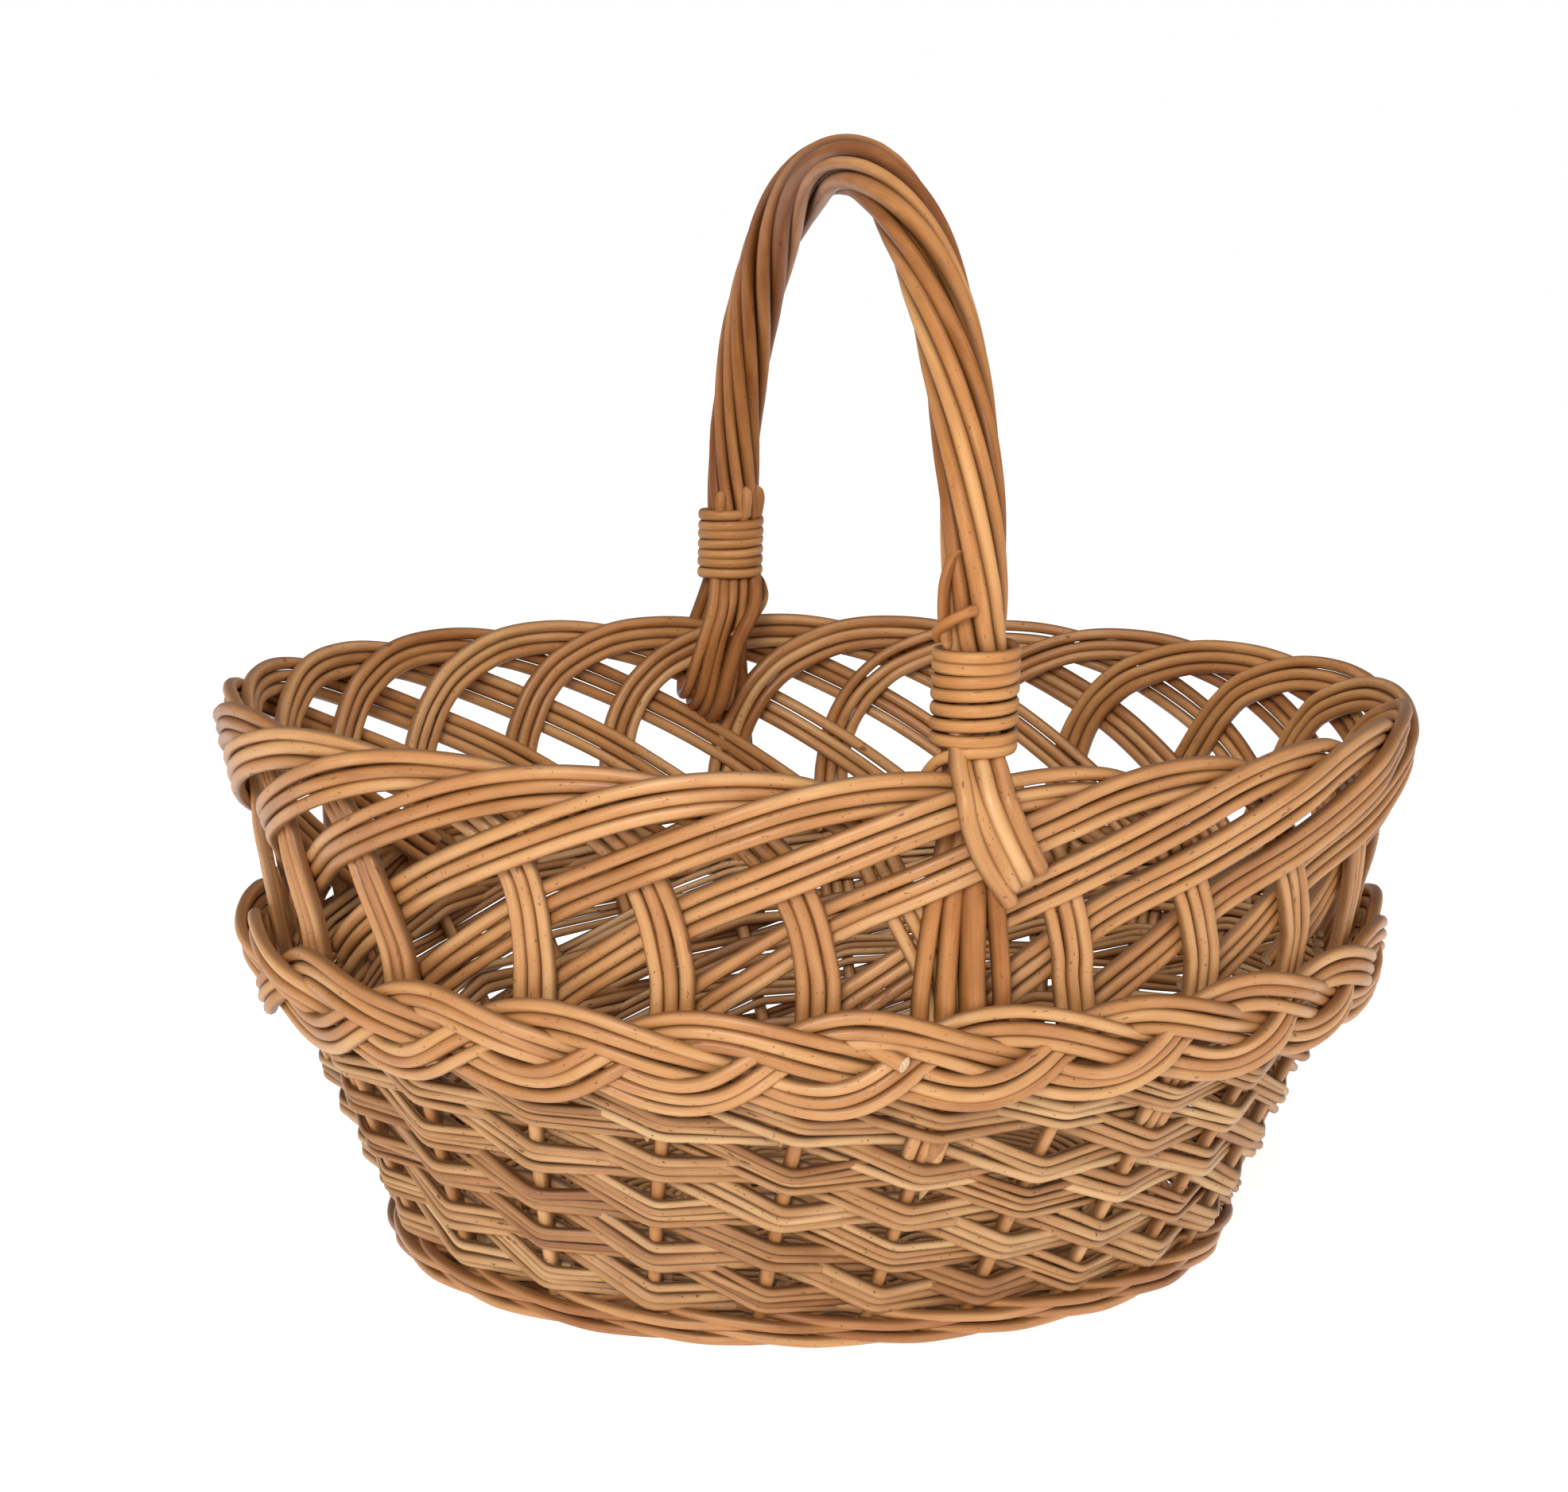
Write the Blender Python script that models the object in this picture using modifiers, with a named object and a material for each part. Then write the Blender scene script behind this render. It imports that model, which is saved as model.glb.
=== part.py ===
"""Oval willow market basket: woven body, plaited waist, openwork border, bow handle.

Metres, +Z up. The origin is on the floor under the middle of the base, X runs along the
basket and Y across it, and the bow handle arches over the middle from -Y to +Y.

Everything woven is placed on the wall, a flaring oval surface through the stakes. A place
on the wall is (s, z, d): s counts stakes anticlockwise from +X, z is the height, and d is
the distance out from the stake line.
"""
import math

import bpy
import numpy as np

# ---- driving dimensions ------------------------------------------------------------------
NAME = "woven_market_basket"
STAKES = 24                 # must divide by 3, one wave of each plait strand per 3 stakes
BASE_LENGTH = 0.284         # stake line on the floor
BASE_WIDTH = 0.228
WAIST_LENGTH = 0.374        # stake line where the body meets the plait
WAIST_WIDTH = 0.298
RIM_LENGTH = 0.410          # stake line at the rim
RIM_WIDTH = 0.308
BODY_HEIGHT = 0.100
STAKE_LEAN = 0.5            # stakes drift this many places between floor and waist
GAP = 0.0003                # air left between neighbouring pieces

# ---- base and upsett ---------------------------------------------------------------------
BASE_THICKNESS = 0.008
BASE_STICK = 0.004
LONG_STICKS_WIDTH = 0.026
CROSS_STICKS = 6
CROSS_STICK_SPACING = 0.015
STICK_END_CLEARANCE = 0.012
STAKE_TIP = 0.004
UPSETT_BOTTOM = 0.003
UPSETT_TOP = 0.013
UPSETT_THICKNESS = 0.0042

# ---- body weave --------------------------------------------------------------------------
STAKE_WIDTH = 0.0046
STAKE_THICKNESS = 0.0036
WEAVER_THICKNESS = 0.0026
WEAVE_ROUNDS = 5            # times each weaver passes in front of a stake
WEAVE_GAP = 0.0012          # between one weaver's edge and the next
WEAVE_TOP_GAP = 0.0025      # from the body's top down to the first weaver's edge
FRONT_DROP = 0.6            # extra steps a weaver drops on its way out to the front
FLAT_REACH = 0.22           # a weaver stays flat this far each side of a stake, in places

# ---- plaited waist -----------------------------------------------------------------------
PLAIT_OVERLAP = 0.0055      # how far the plait hangs below the body's top
PLAIT_HEIGHT = 0.033
PLAIT_STRANDS = 3
PLAIT_STRAND_WIDTH = 0.0082
PLAIT_STRAND_THICKNESS = 0.0030
PLAIT_CLEARANCE = 0.0018    # between crossing strands, and twice that behind them
PLAIT_PHASE = 0.15

# ---- openwork border ---------------------------------------------------------------------
BORDER_HEIGHT = 0.0655      # from the plait's top to the rim
BORDER_WIDTH = 0.0086
BORDER_CLEARANCE = 0.0006   # between bundles that cross
BORDER_SWELL = 0.014        # height over which a stake widens into its border bundle
# Places left of the foot, share of the height from the plait to the crest, and layer.
# Wherever two bundles cross, their layers are at least BORDER_STEP apart.
BORDER_STEP = 1.74
BORDER_PATH = [
    (0.00, 0.00, -0.2), (0.00, 0.15, -0.2), (0.03, 0.38, -0.25), (0.10, 0.53, -1.25),
    (0.24, 0.68, -1.45), (0.50, 0.84, -1.6), (1.00, 0.97, -0.65), (1.50, 1.00, 0.3),
    (2.00, 0.95, 1.2), (2.50, 0.83, 2.1), (3.25, 0.57, 0.9), (3.90, 0.305, -2.1),
    (4.50, 0.02, -2.1), (4.72, -0.12, -2.2),
]

# ---- bow handle --------------------------------------------------------------------------
HANDLE_RISE = 0.188         # from the rim to the top of the bow
LEG_RISE = 0.057            # from the rim to where the legs start to arch
HANDLE_DIAMETER = 0.020
LEG_DIAMETER = 0.015        # leg between collar and rim
TAIL_DIAMETER = 0.010       # leg where it runs down inside the border
TAIL_END_GAP = 0.004        # from the body weave's top to the end of the tail
HANDLE_RODS = 8
FLUTE_DEPTH = 0.0012
ROPE_TURNS = 1.5
COLLAR_WALL = 0.0026
COLLAR_ROD = 0.0040
NEAR_COLLAR_RISE = 0.006    # from the rim to the collar
NEAR_COLLAR_TURNS = 8
FAR_COLLAR_RISE = 0.018
FAR_COLLAR_TURNS = 7
HOOK_WIDTH = 0.016
HOOK_THICKNESS = 0.0034
HOOK_DROP = 0.035

# ---- worked out from the above -----------------------------------------------------------
TABLE_STEPS = 1440
plait_bottom = BODY_HEIGHT - PLAIT_OVERLAP
plait_top = plait_bottom + PLAIT_HEIGHT
plait_layer = (PLAIT_STRAND_THICKNESS + PLAIT_CLEARANCE) / 2
plait_centre = (STAKE_THICKNESS / 2 + 2 * PLAIT_CLEARANCE + plait_layer
                + PLAIT_STRAND_THICKNESS / 2)
rim_height = plait_top + BORDER_HEIGHT
crest = rim_height - BORDER_WIDTH / 2
border_layer = (STAKE_THICKNESS + BORDER_CLEARANCE) / BORDER_STEP
leg_offset = (RIM_WIDTH / 2 - 0.65 * border_layer - STAKE_THICKNESS / 2
              - LEG_DIAMETER / 2 - 2 * GAP)   # middle of a leg from the middle of the basket
weave_step = (BODY_HEIGHT - WEAVE_TOP_GAP - UPSETT_TOP) / (2 * WEAVE_ROUNDS + 0.65)
weaver_width = weave_step - WEAVE_GAP
weave_top = BODY_HEIGHT - WEAVE_TOP_GAP - weaver_width / 2
weave_swing = (STAKE_THICKNESS + WEAVER_THICKNESS) / 2 + 2 * GAP


# ---- the wall ----------------------------------------------------------------------------
def oval_table():
    """Angle round the waist oval at each stake place, spaced evenly along its length."""
    angle = np.linspace(0.0, 2 * math.pi, TABLE_STEPS + 1)
    x = WAIST_LENGTH / 2 * np.cos(angle)
    y = WAIST_WIDTH / 2 * np.sin(angle)
    length = np.concatenate([[0.0], np.cumsum(np.hypot(np.diff(x), np.diff(y)))])
    return length / length[-1] * STAKES, angle


PLACES, ANGLES = oval_table()


def stake_line(s, z):
    """Points on the stake line: an oval whose half-axes grow from base to waist to rim."""
    leaning = s - STAKE_LEAN * np.clip(1 - z / BODY_HEIGHT, 0, 1)
    turn = np.floor(leaning / STAKES)
    angle = np.interp(leaning - turn * STAKES, PLACES, ANGLES)
    heights = [0.0, BODY_HEIGHT, crest]
    a = np.interp(z, heights, [BASE_LENGTH / 2, WAIST_LENGTH / 2, RIM_LENGTH / 2])
    b = np.interp(z, heights, [BASE_WIDTH / 2, WAIST_WIDTH / 2, RIM_WIDTH / 2])
    return np.stack([a * np.cos(angle), b * np.sin(angle), z], axis=-1)


def outward(s, z, reach_s=0.02, reach_z=0.004):
    """Unit vectors out of the wall: the way round crossed with the way up."""
    around = stake_line(s + reach_s, z) - stake_line(s - reach_s, z)
    up = stake_line(s, z + reach_z) - stake_line(s, z - reach_z)
    normal = np.cross(around, up)
    return normal / np.linalg.norm(normal, axis=-1, keepdims=True)


def wall(s, z, d=0.0):
    """Points d out from the stake line, and the wall's outward direction at each."""
    s, z, d = (np.array(v, dtype=float) for v in np.broadcast_arrays(s, z, d))
    normal = outward(s, z)
    return stake_line(s, z) + normal * d[..., None], normal


# ---- building blocks ---------------------------------------------------------------------
def make_collection(name):
    """A collection in the scene for the finished pieces."""
    collection = bpy.data.collections.new(name)
    bpy.context.scene.collection.children.link(collection)
    return collection


def willow(name, colour, roughness=0.55):
    """A Principled material for one piece of willow."""
    material = bpy.data.materials.new(name)
    material.use_nodes = True
    shader = material.node_tree.nodes["Principled BSDF"]
    shader.inputs["Base Color"].default_value = (*colour, 1.0)
    shader.inputs["Roughness"].default_value = roughness
    shader.inputs["Metallic"].default_value = 0.0
    return material


BUFF = (0.60, 0.31, 0.13)
PALE = (0.62, 0.37, 0.20)
DARK = (0.47, 0.20, 0.07)


def add_mesh(name, points, faces, colour):
    """One object from points and faces, with its own material."""
    mesh = bpy.data.meshes.new(name)
    mesh.from_pydata([tuple(map(float, p)) for p in points], [], faces)
    mesh.update()
    piece = bpy.data.objects.new(name, mesh)
    piece.data.materials.append(willow(name, colour))
    parts.objects.link(piece)
    return piece


def thicken(piece, thickness, offset=0.0):
    """Give an open sheet its thickness, about its middle unless told otherwise."""
    solid = piece.modifiers.new("thickness", "SOLIDIFY")
    solid.thickness = thickness
    solid.offset = offset
    return piece


def ribbon(name, path, normal, width, thickness, colour, closed=False):
    """A flat bundle of rods: a strip along a path, tangent to the wall, made solid."""
    if closed:
        along = np.roll(path, -1, axis=0) - np.roll(path, 1, axis=0)
    else:
        along = np.gradient(path, axis=0)
    across = np.cross(normal, along)
    across /= np.linalg.norm(across, axis=1, keepdims=True)
    half = np.broadcast_to(np.asarray(width, dtype=float), len(path))[:, None] / 2
    points = np.concatenate([path - across * half, path + across * half])
    count = len(path)
    last = count if closed else count - 1
    faces = [(i, (i + 1) % count, (i + 1) % count + count, i + count) for i in range(last)]
    return thicken(add_mesh(name, points, faces, colour), thickness)


# ---- base --------------------------------------------------------------------------------
def base_outline(inset, per_stake=2):
    """The oval just inside the stakes at floor level, drawn in by inset."""
    s = np.arange(STAKES * per_stake) / per_stake
    points, _ = wall(s, np.zeros_like(s), -inset)
    return [(x, y) for x, y, _ in points]


def make_base_weave():
    """The woven oval floor, flat underneath."""
    outline = base_outline(STAKE_THICKNESS / 2 + 3 * GAP)
    points = [(x, y, 0.0) for x, y in outline]
    floor = add_mesh("base_weave", points, [tuple(range(len(points)))], PALE)
    return thicken(floor, BASE_THICKNESS, offset=1.0)


def make_base_sticks():
    """The slath: a bar of long sticks with the cross sticks pierced through it."""
    reach_x = BASE_LENGTH / 2 - STICK_END_CLEARANCE
    bar = LONG_STICKS_WIDTH / 2
    middles = (np.arange(CROSS_STICKS) - (CROSS_STICKS - 1) / 2) * CROSS_STICK_SPACING
    upper = [(-reach_x, bar)]
    for x in middles:
        share = math.sqrt(max(0.0, 1 - (abs(x) / (BASE_LENGTH / 2)) ** 2))
        reach_y = BASE_WIDTH / 2 * share - STICK_END_CLEARANCE
        left, right = x - BASE_STICK / 2, x + BASE_STICK / 2
        upper += [(left, bar), (left, reach_y), (right, reach_y), (right, bar)]
    upper.append((reach_x, bar))
    outline = upper + [(x, -y) for x, y in reversed(upper)]
    level = BASE_THICKNESS + GAP
    points = [(x, y, level) for x, y in reversed(outline)]
    sticks = add_mesh("base_sticks", points, [tuple(range(len(points)))], BUFF)
    return thicken(sticks, BASE_STICK, offset=1.0)


def make_upsett():
    """The ring of thicker rods that turns the stakes up round the bottom edge."""
    s = np.arange(STAKES * 2) / 2
    d = (STAKE_THICKNESS + UPSETT_THICKNESS) / 2 + 2 * GAP
    path, normal = wall(s, (UPSETT_BOTTOM + UPSETT_TOP) / 2, d)
    width = UPSETT_TOP - UPSETT_BOTTOM
    return ribbon("upsett_wale", path, normal, width, UPSETT_THICKNESS, BUFF, closed=True)


# ---- body --------------------------------------------------------------------------------
def make_weaver(index):
    """One bundle of thin rods: in front of a stake, behind the next, always stepping down.

    It drops steeply from behind one stake to the front of the next, then runs nearly
    level to the back of the one after.
    """
    passes = np.arange(2 * WEAVE_ROUNDS + 1)
    front = passes % 2
    reach = np.array([-FLAT_REACH, 0.0, FLAT_REACH])
    places = (passes[:, None] + reach).ravel()[1:-1]
    side = np.repeat(2.0 * front - 1.0, 3)[1:-1]
    drop = np.interp(places, passes, passes + front * FRONT_DROP)
    height = weave_top - drop * weave_step
    path, normal = wall(index + places, height, side * weave_swing)
    name = f"weaver_{index + 1:02d}"
    return ribbon(name, path, normal, weaver_width, WEAVER_THICKNESS, PALE)


def border_route(foot):
    """The border bundle's route from the plait up, over the rim and back down outside."""
    left, share, layer = np.array(BORDER_PATH).T
    z = plait_top + share * (crest - plait_top)
    knots = np.arange(len(left), dtype=float)
    fine = np.sort(np.concatenate([knots, knots[4:-2] + 0.5]))
    return (foot - smooth(knots, left, fine), smooth(knots, z, fine),
            np.interp(fine, knots, layer) * border_layer)


def smooth(knots, values, fine):
    """Cubic Hermite through evenly numbered values with central-difference slopes."""
    slope = np.gradient(values)
    i = np.clip(np.floor(fine).astype(int), 0, len(values) - 2)
    t = fine - knots[i]
    return ((2 * t**3 - 3 * t**2 + 1) * values[i] + (t**3 - 2 * t**2 + t) * slope[i]
            + (3 * t**2 - 2 * t**3) * values[i + 1] + (t**3 - t**2) * slope[i + 1])


def make_stake(index):
    """A stake that climbs through the body and turns into its bundle of border rods."""
    rise = np.append(np.linspace(STAKE_TIP, BODY_HEIGHT, 5), plait_top - BORDER_SWELL)
    s, z, d = border_route(index)
    s = np.concatenate([np.full(len(rise), float(index)), s])
    z = np.concatenate([rise, z])
    d = np.concatenate([np.zeros(len(rise)), d])
    width = np.full(len(s), BORDER_WIDTH)
    width[:len(rise)] = STAKE_WIDTH
    path, normal = wall(s, z, d)
    name = f"stake_{index + 1:02d}"
    return ribbon(name, path, normal, width, STAKE_THICKNESS, BUFF)


# ---- plaited waist -----------------------------------------------------------------------
def make_plait_strand(index):
    """A closed strand: down over two places, up over one, out and in past the others."""
    over, under = (2 / 3, 7 / 3), (4 / 3, 8 / 3)
    hold = 0.1
    knots = sorted((c + e, side) for group, side in ((over, 1.0), (under, -1.0))
                   for c in group for e in (-hold, hold))
    places = np.array([k for k, _ in knots])
    layers = np.array([side for _, side in knots])
    wave = np.sort(np.concatenate([places, [0.0, 1 / 3, 5 / 3, 2.0]]))
    q = np.concatenate([wave + 3 * turn for turn in range(STAKES // 3)])
    phase = q % 3
    swing = (PLAIT_HEIGHT - PLAIT_STRAND_WIDTH) / 2
    falling, rising = np.cos(math.pi * phase / 2), -np.cos(math.pi * (phase - 2))
    z = plait_bottom + PLAIT_HEIGHT / 2 + np.where(phase < 2, falling, rising) * swing
    d = plait_centre + plait_layer * np.interp(phase, places, layers, period=3)
    path, normal = wall(q + index + PLAIT_PHASE, z, d)
    return ribbon(f"plait_strand_{index + 1}", path, normal, PLAIT_STRAND_WIDTH,
                  PLAIT_STRAND_THICKNESS, BUFF, closed=True)


# ---- handle ------------------------------------------------------------------------------
def bow_route():
    """The bow's centre line in the YZ plane with its radius: tail, leg, arch, leg, tail."""
    half = leg_offset
    top = rim_height + HANDLE_RISE - HANDLE_DIAMETER / 2
    spring = rim_height + LEG_RISE
    collar_bottom = rim_height + min(NEAR_COLLAR_RISE, FAR_COLLAR_RISE)
    shoulder = rim_height + 2 * GAP
    inner = -(2.2 * border_layer + STAKE_THICKNESS / 2 + 2 * GAP + TAIL_DIAMETER / 2)
    tail = []
    for z in (BODY_HEIGHT + TAIL_END_GAP, plait_top, (plait_top + crest) / 2):
        place, _ = wall(0.75 * STAKES, z, inner)
        tail.append((min(half, -place[1]), z, TAIL_DIAMETER / 2))
    leg = [(half, shoulder - LEG_DIAMETER / 2, LEG_DIAMETER / 2),
           (half, collar_bottom - 4 * GAP, LEG_DIAMETER / 2),
           (half, collar_bottom, HANDLE_DIAMETER / 2),
           (half, (collar_bottom + spring) / 2, HANDLE_DIAMETER / 2)]
    turn = np.linspace(0, math.pi / 2, 11)
    rise = top - spring
    arch = [(half * math.cos(a), spring + rise * math.sin(a), HANDLE_DIAMETER / 2)
            for a in turn]
    near = tail + leg + arch
    far = [(-y, z, r) for y, z, r in reversed(near[:-1])]
    return np.array([(-y, z, r) for y, z, r in near + far])


def make_bow():
    """A fluted bar, one flute between each pair of rods, twisted like rope along the bow."""
    y, z, radius = bow_route().T
    path = np.stack([np.zeros_like(y), y, z], axis=1)
    along = np.gradient(path, axis=0)
    along /= np.linalg.norm(along, axis=1, keepdims=True)
    side = np.tile([1.0, 0.0, 0.0], (len(path), 1))
    third = np.cross(along, side)
    run = np.concatenate([[0.0], np.cumsum(np.linalg.norm(np.diff(path, axis=0), axis=1))])
    twist = -2 * math.pi * ROPE_TURNS * run / run[-1]
    corners = 2 * HANDLE_RODS
    turn = 2 * math.pi * np.arange(corners) / corners
    depth = np.where(np.arange(corners) % 2, FLUTE_DEPTH, 0.0)
    angle = turn[None, :] + twist[:, None]
    reach = radius[:, None] - depth[None, :]
    ring = (side[:, None] * np.cos(angle)[..., None] + third[:, None] * np.sin(angle)[..., None])
    points = (path[:, None] + ring * reach[..., None]).reshape(-1, 3)
    faces = [tuple(range(corners))[::-1]]
    for i in range(len(path) - 1):
        for j in range(corners):
            a, b = i * corners + j, i * corners + (j + 1) % corners
            faces.append((a, b, b + corners, a + corners))
    faces.append(tuple(range((len(path) - 1) * corners, len(path) * corners)))
    return add_mesh("handle_bow", points, faces, DARK)


def make_collar(name, y, bottom, turns, steps=14):
    """A turned sleeve with one rounded bead for each turn of the binding rod."""
    inner = HANDLE_DIAMETER / 2 + GAP
    outer = inner + COLLAR_WALL
    groove = outer - COLLAR_WALL / 3
    profile = [(inner, 0.0)]
    for turn in range(turns):
        base = turn * COLLAR_ROD
        profile += [(groove, base), (outer, base + COLLAR_ROD / 2)]
    profile += [(groove, turns * COLLAR_ROD), (inner, turns * COLLAR_ROD)]
    count = len(profile)
    edges = [(i, (i + 1) % count) for i in range(count)]
    mesh = bpy.data.meshes.new(name)
    mesh.from_pydata([(r, 0.0, z) for r, z in profile], [(b, a) for a, b in edges], [])
    piece = bpy.data.objects.new(name, mesh)
    piece.location = (0.0, y, bottom)
    piece.data.materials.append(willow(name, BUFF))
    parts.objects.link(piece)
    screw = piece.modifiers.new("turn", "SCREW")
    screw.steps = screw.render_steps = steps
    screw.use_merge_vertices = True
    screw.merge_threshold = 0.00001
    return piece


def make_hook(name, side):
    """The rods that leave the collar, cross the rim and lie down the outside of it."""
    half = leg_offset
    start = half + LEG_DIAMETER / 2 + HOOK_THICKNESS / 2 + 2 * GAP
    top = rim_height + HOOK_THICKNESS / 2 + 3 * GAP
    clear = 1.95 * border_layer + (STAKE_THICKNESS + HOOK_THICKNESS) / 2 + 3 * GAP
    hook_bottom = rim_height - HOOK_DROP
    place, _ = wall(0.75 * STAKES, crest, clear)
    outside = -place[1]
    lowest, _ = wall(0.75 * STAKES, hook_bottom, clear)
    route = [(start, top + HOOK_THICKNESS / 2), (start + 0.3 * (outside - start), top),
             (start + 0.7 * (outside - start), top), (outside, top - HOOK_THICKNESS),
             (outside + GAP, crest - HOOK_THICKNESS),
             ((outside - lowest[1]) / 2, (crest + hook_bottom) / 2),
             (-lowest[1], hook_bottom)]
    path = np.array([(0.0, side * y, z) for y, z in route])
    along = np.gradient(path, axis=0)
    normal = np.cross(along, [1.0, 0.0, 0.0])
    return ribbon(name, path, normal, HOOK_WIDTH, HOOK_THICKNESS, BUFF)


# ---- assembly ----------------------------------------------------------------------------
for leftover in list(bpy.data.objects):
    bpy.data.objects.remove(leftover)

parts = make_collection(NAME)
make_base_weave()
make_base_sticks()
make_upsett()
for number in range(STAKES):
    make_weaver(number)
    make_stake(number)
for number in range(PLAIT_STRANDS):
    make_plait_strand(number)
make_bow()
make_collar("collar_near", -leg_offset, rim_height + NEAR_COLLAR_RISE, NEAR_COLLAR_TURNS)
make_collar("collar_far", leg_offset, rim_height + FAR_COLLAR_RISE, FAR_COLLAR_TURNS)
make_hook("hook_near", -1.0)
make_hook("hook_far", 1.0)
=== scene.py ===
import bpy
import numpy as np
from mathutils import Matrix, Vector


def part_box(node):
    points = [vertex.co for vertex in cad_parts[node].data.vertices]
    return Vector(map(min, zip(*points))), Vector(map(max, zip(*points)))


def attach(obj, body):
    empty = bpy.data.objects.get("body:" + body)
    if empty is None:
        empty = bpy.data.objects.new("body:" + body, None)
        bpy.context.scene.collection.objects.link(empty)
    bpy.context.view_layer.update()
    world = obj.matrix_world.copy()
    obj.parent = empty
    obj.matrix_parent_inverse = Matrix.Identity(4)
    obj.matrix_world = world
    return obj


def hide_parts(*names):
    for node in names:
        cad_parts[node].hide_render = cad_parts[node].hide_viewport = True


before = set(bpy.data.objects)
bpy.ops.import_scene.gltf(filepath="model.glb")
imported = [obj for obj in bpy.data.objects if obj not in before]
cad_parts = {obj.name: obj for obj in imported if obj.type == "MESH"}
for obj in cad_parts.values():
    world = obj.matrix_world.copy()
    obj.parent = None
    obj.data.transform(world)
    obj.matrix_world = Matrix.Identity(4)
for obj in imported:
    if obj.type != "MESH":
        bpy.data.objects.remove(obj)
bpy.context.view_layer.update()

print("frame loaded")
rng = np.random.default_rng(24)
pi = np.pi
upward = np.array([0, 0, 1.0])

# Metres, +Z up. Everything woven is placed on the wall, a flaring oval through the stakes.
# A place on the wall is (s, z, d): s counts stakes anticlockwise from +X, z is the height
# and d is the distance out from the stake line.
wallShape = {
    "stakes": 24,
    "baseLength": 0.284, "baseWidth": 0.228,
    "waistLength": 0.374, "waistWidth": 0.298,
    "rimLength": 0.410, "rimWidth": 0.308,
    "bodyHeight": 0.100,
    "lean": 0.5,              # places that a stake drifts between floor and waist
    "borderWidth": 0.0086,
    "tableSteps": 1441, "aroundStep": 0.02, "upStep": 0.004,
}


def edge(node, high, axis):
    # a node's lowest (high 0) or highest (high 1) coordinate along an axis
    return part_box(node)[high][axis]


stakes = wallShape["stakes"]
plaitBottom = edge("plait_strand_1", 0, 2)
plaitTop = edge("plait_strand_1", 1, 2)
rimTop = max(edge(f"stake_{k + 1:02d}", 1, 2) for k in range(stakes))
crest = rimTop - wallShape["borderWidth"] / 2
handleTop = edge("handle_bow", 1, 2)
floorTop = edge("base_weave", 1, 2)


def ovalTable():
    # angle round the waist oval against the place counted along its length
    angle = np.linspace(0, 2 * pi, wallShape["tableSteps"])
    x = wallShape["waistLength"] / 2 * np.cos(angle)
    y = wallShape["waistWidth"] / 2 * np.sin(angle)
    length = np.concatenate([[0], np.cumsum(np.hypot(np.diff(x), np.diff(y)))])
    return length / length[-1] * stakes, angle


ovalPlaces, ovalAngles = ovalTable()


def stakeLine(s, z):
    # an oval at each height: half-axes times cosine and sine of the place's angle
    w = wallShape
    leaning = s - w["lean"] * np.clip(1 - z / w["bodyHeight"], 0, 1)
    angle = np.interp(leaning % stakes, ovalPlaces, ovalAngles)
    heights = [0.0, w["bodyHeight"], crest]
    a = np.interp(z, heights, [w["baseLength"] / 2, w["waistLength"] / 2, w["rimLength"] / 2])
    b = np.interp(z, heights, [w["baseWidth"] / 2, w["waistWidth"] / 2, w["rimWidth"] / 2])
    return np.stack([a * np.cos(angle), b * np.sin(angle), z], axis=-1)


def wall(s, z, d=0.0):
    # the stake line plus d along the outward normal, which is round crossed with up
    s, z, d = (np.array(v, dtype=float) for v in np.broadcast_arrays(s, z, d))
    aside, above = wallShape["aroundStep"], wallShape["upStep"]   # in places and metres
    around = stakeLine(s + aside, z) - stakeLine(s - aside, z)
    up = stakeLine(s, z + above) - stakeLine(s, z - above)
    normal = unit(np.cross(around, up))
    return stakeLine(s, z) + normal * d[..., None], normal


def unit(v):
    # each vector divided by its own length
    return v / np.maximum(np.linalg.norm(v, axis=-1, keepdims=True), 1e-12)


def spline(points, count):
    # on each span a cubic through both points, with the mean of the neighbouring spans as
    # its end slopes
    points = np.asarray(points, dtype=float)
    last = points.shape[-2] - 1
    slope = np.gradient(points, axis=-2)
    t = np.linspace(0, last, count)
    i = np.minimum(t.astype(int), last - 1)
    f = (t - i)[:, None]
    a, b = points[..., i, :], points[..., i + 1, :]
    u, v = slope[..., i, :], slope[..., i + 1, :]
    return ((2 * f**3 - 3 * f**2 + 1) * a + (f**3 - 2 * f**2 + f) * u
            + (3 * f**2 - 2 * f**3) * b + (f**3 - f**2) * v)


def soften(path, width, closed=False):
    # a running mean with a bell-shaped weight, width in samples; the ends stay where they are
    reach = int(np.ceil(3 * width))
    weight = np.exp(-0.5 * (np.arange(-reach, reach + 1) / width) ** 2)
    weight /= weight.sum()
    mode = "wrap" if closed else "reflect"
    padded = np.pad(path, [(reach, reach), (0, 0)], mode=mode)
    if not closed:
        padded[:reach] = 2 * path[0] - padded[:reach]
        padded[-reach:] = 2 * path[-1] - padded[-reach:]
    columns = [np.convolve(padded[:, c], weight, "valid") for c in range(path.shape[1])]
    return np.stack(columns, axis=1)


def wander(many, count, size, waves=5):
    # a slow random drift along each rod: a few sines with random phases, mostly within size
    t = np.linspace(0, 1, count)
    rounds = np.arange(1, waves + 1)[None, :, None]
    turn = rng.uniform(0, 2 * pi, (many, waves, 1))
    depth = rng.normal(0, 1, (many, waves, 1)) / rounds ** 0.5
    return size * 0.5 * (depth * np.sin(2 * pi * rounds * t + turn)).sum(axis=1)


rodShape = {
    # knots: share of the radius, half width and spacing in steps, and fewest steps of a rod
    "knot": 0.035, "knotWidth": 1.6, "knotSpacing": 60, "knotFrom": 40,
    "unevenness": 0.03,       # slow change of the radius, as a share
    "point": 0.16,            # radius left at a drawn-out end, as a share
    "pointCurve": 0.8,
    "pithShown": 0.35, "pithReach": 1.15,   # how pale a drawn-out end is, and over how much
    "capShare": 0.86,         # radius of a cut end's face, as a share
    "creasePaintedShadePower": 5,         # higher keeps the painted shade of a crease closer to the rod's sides
}


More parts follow.
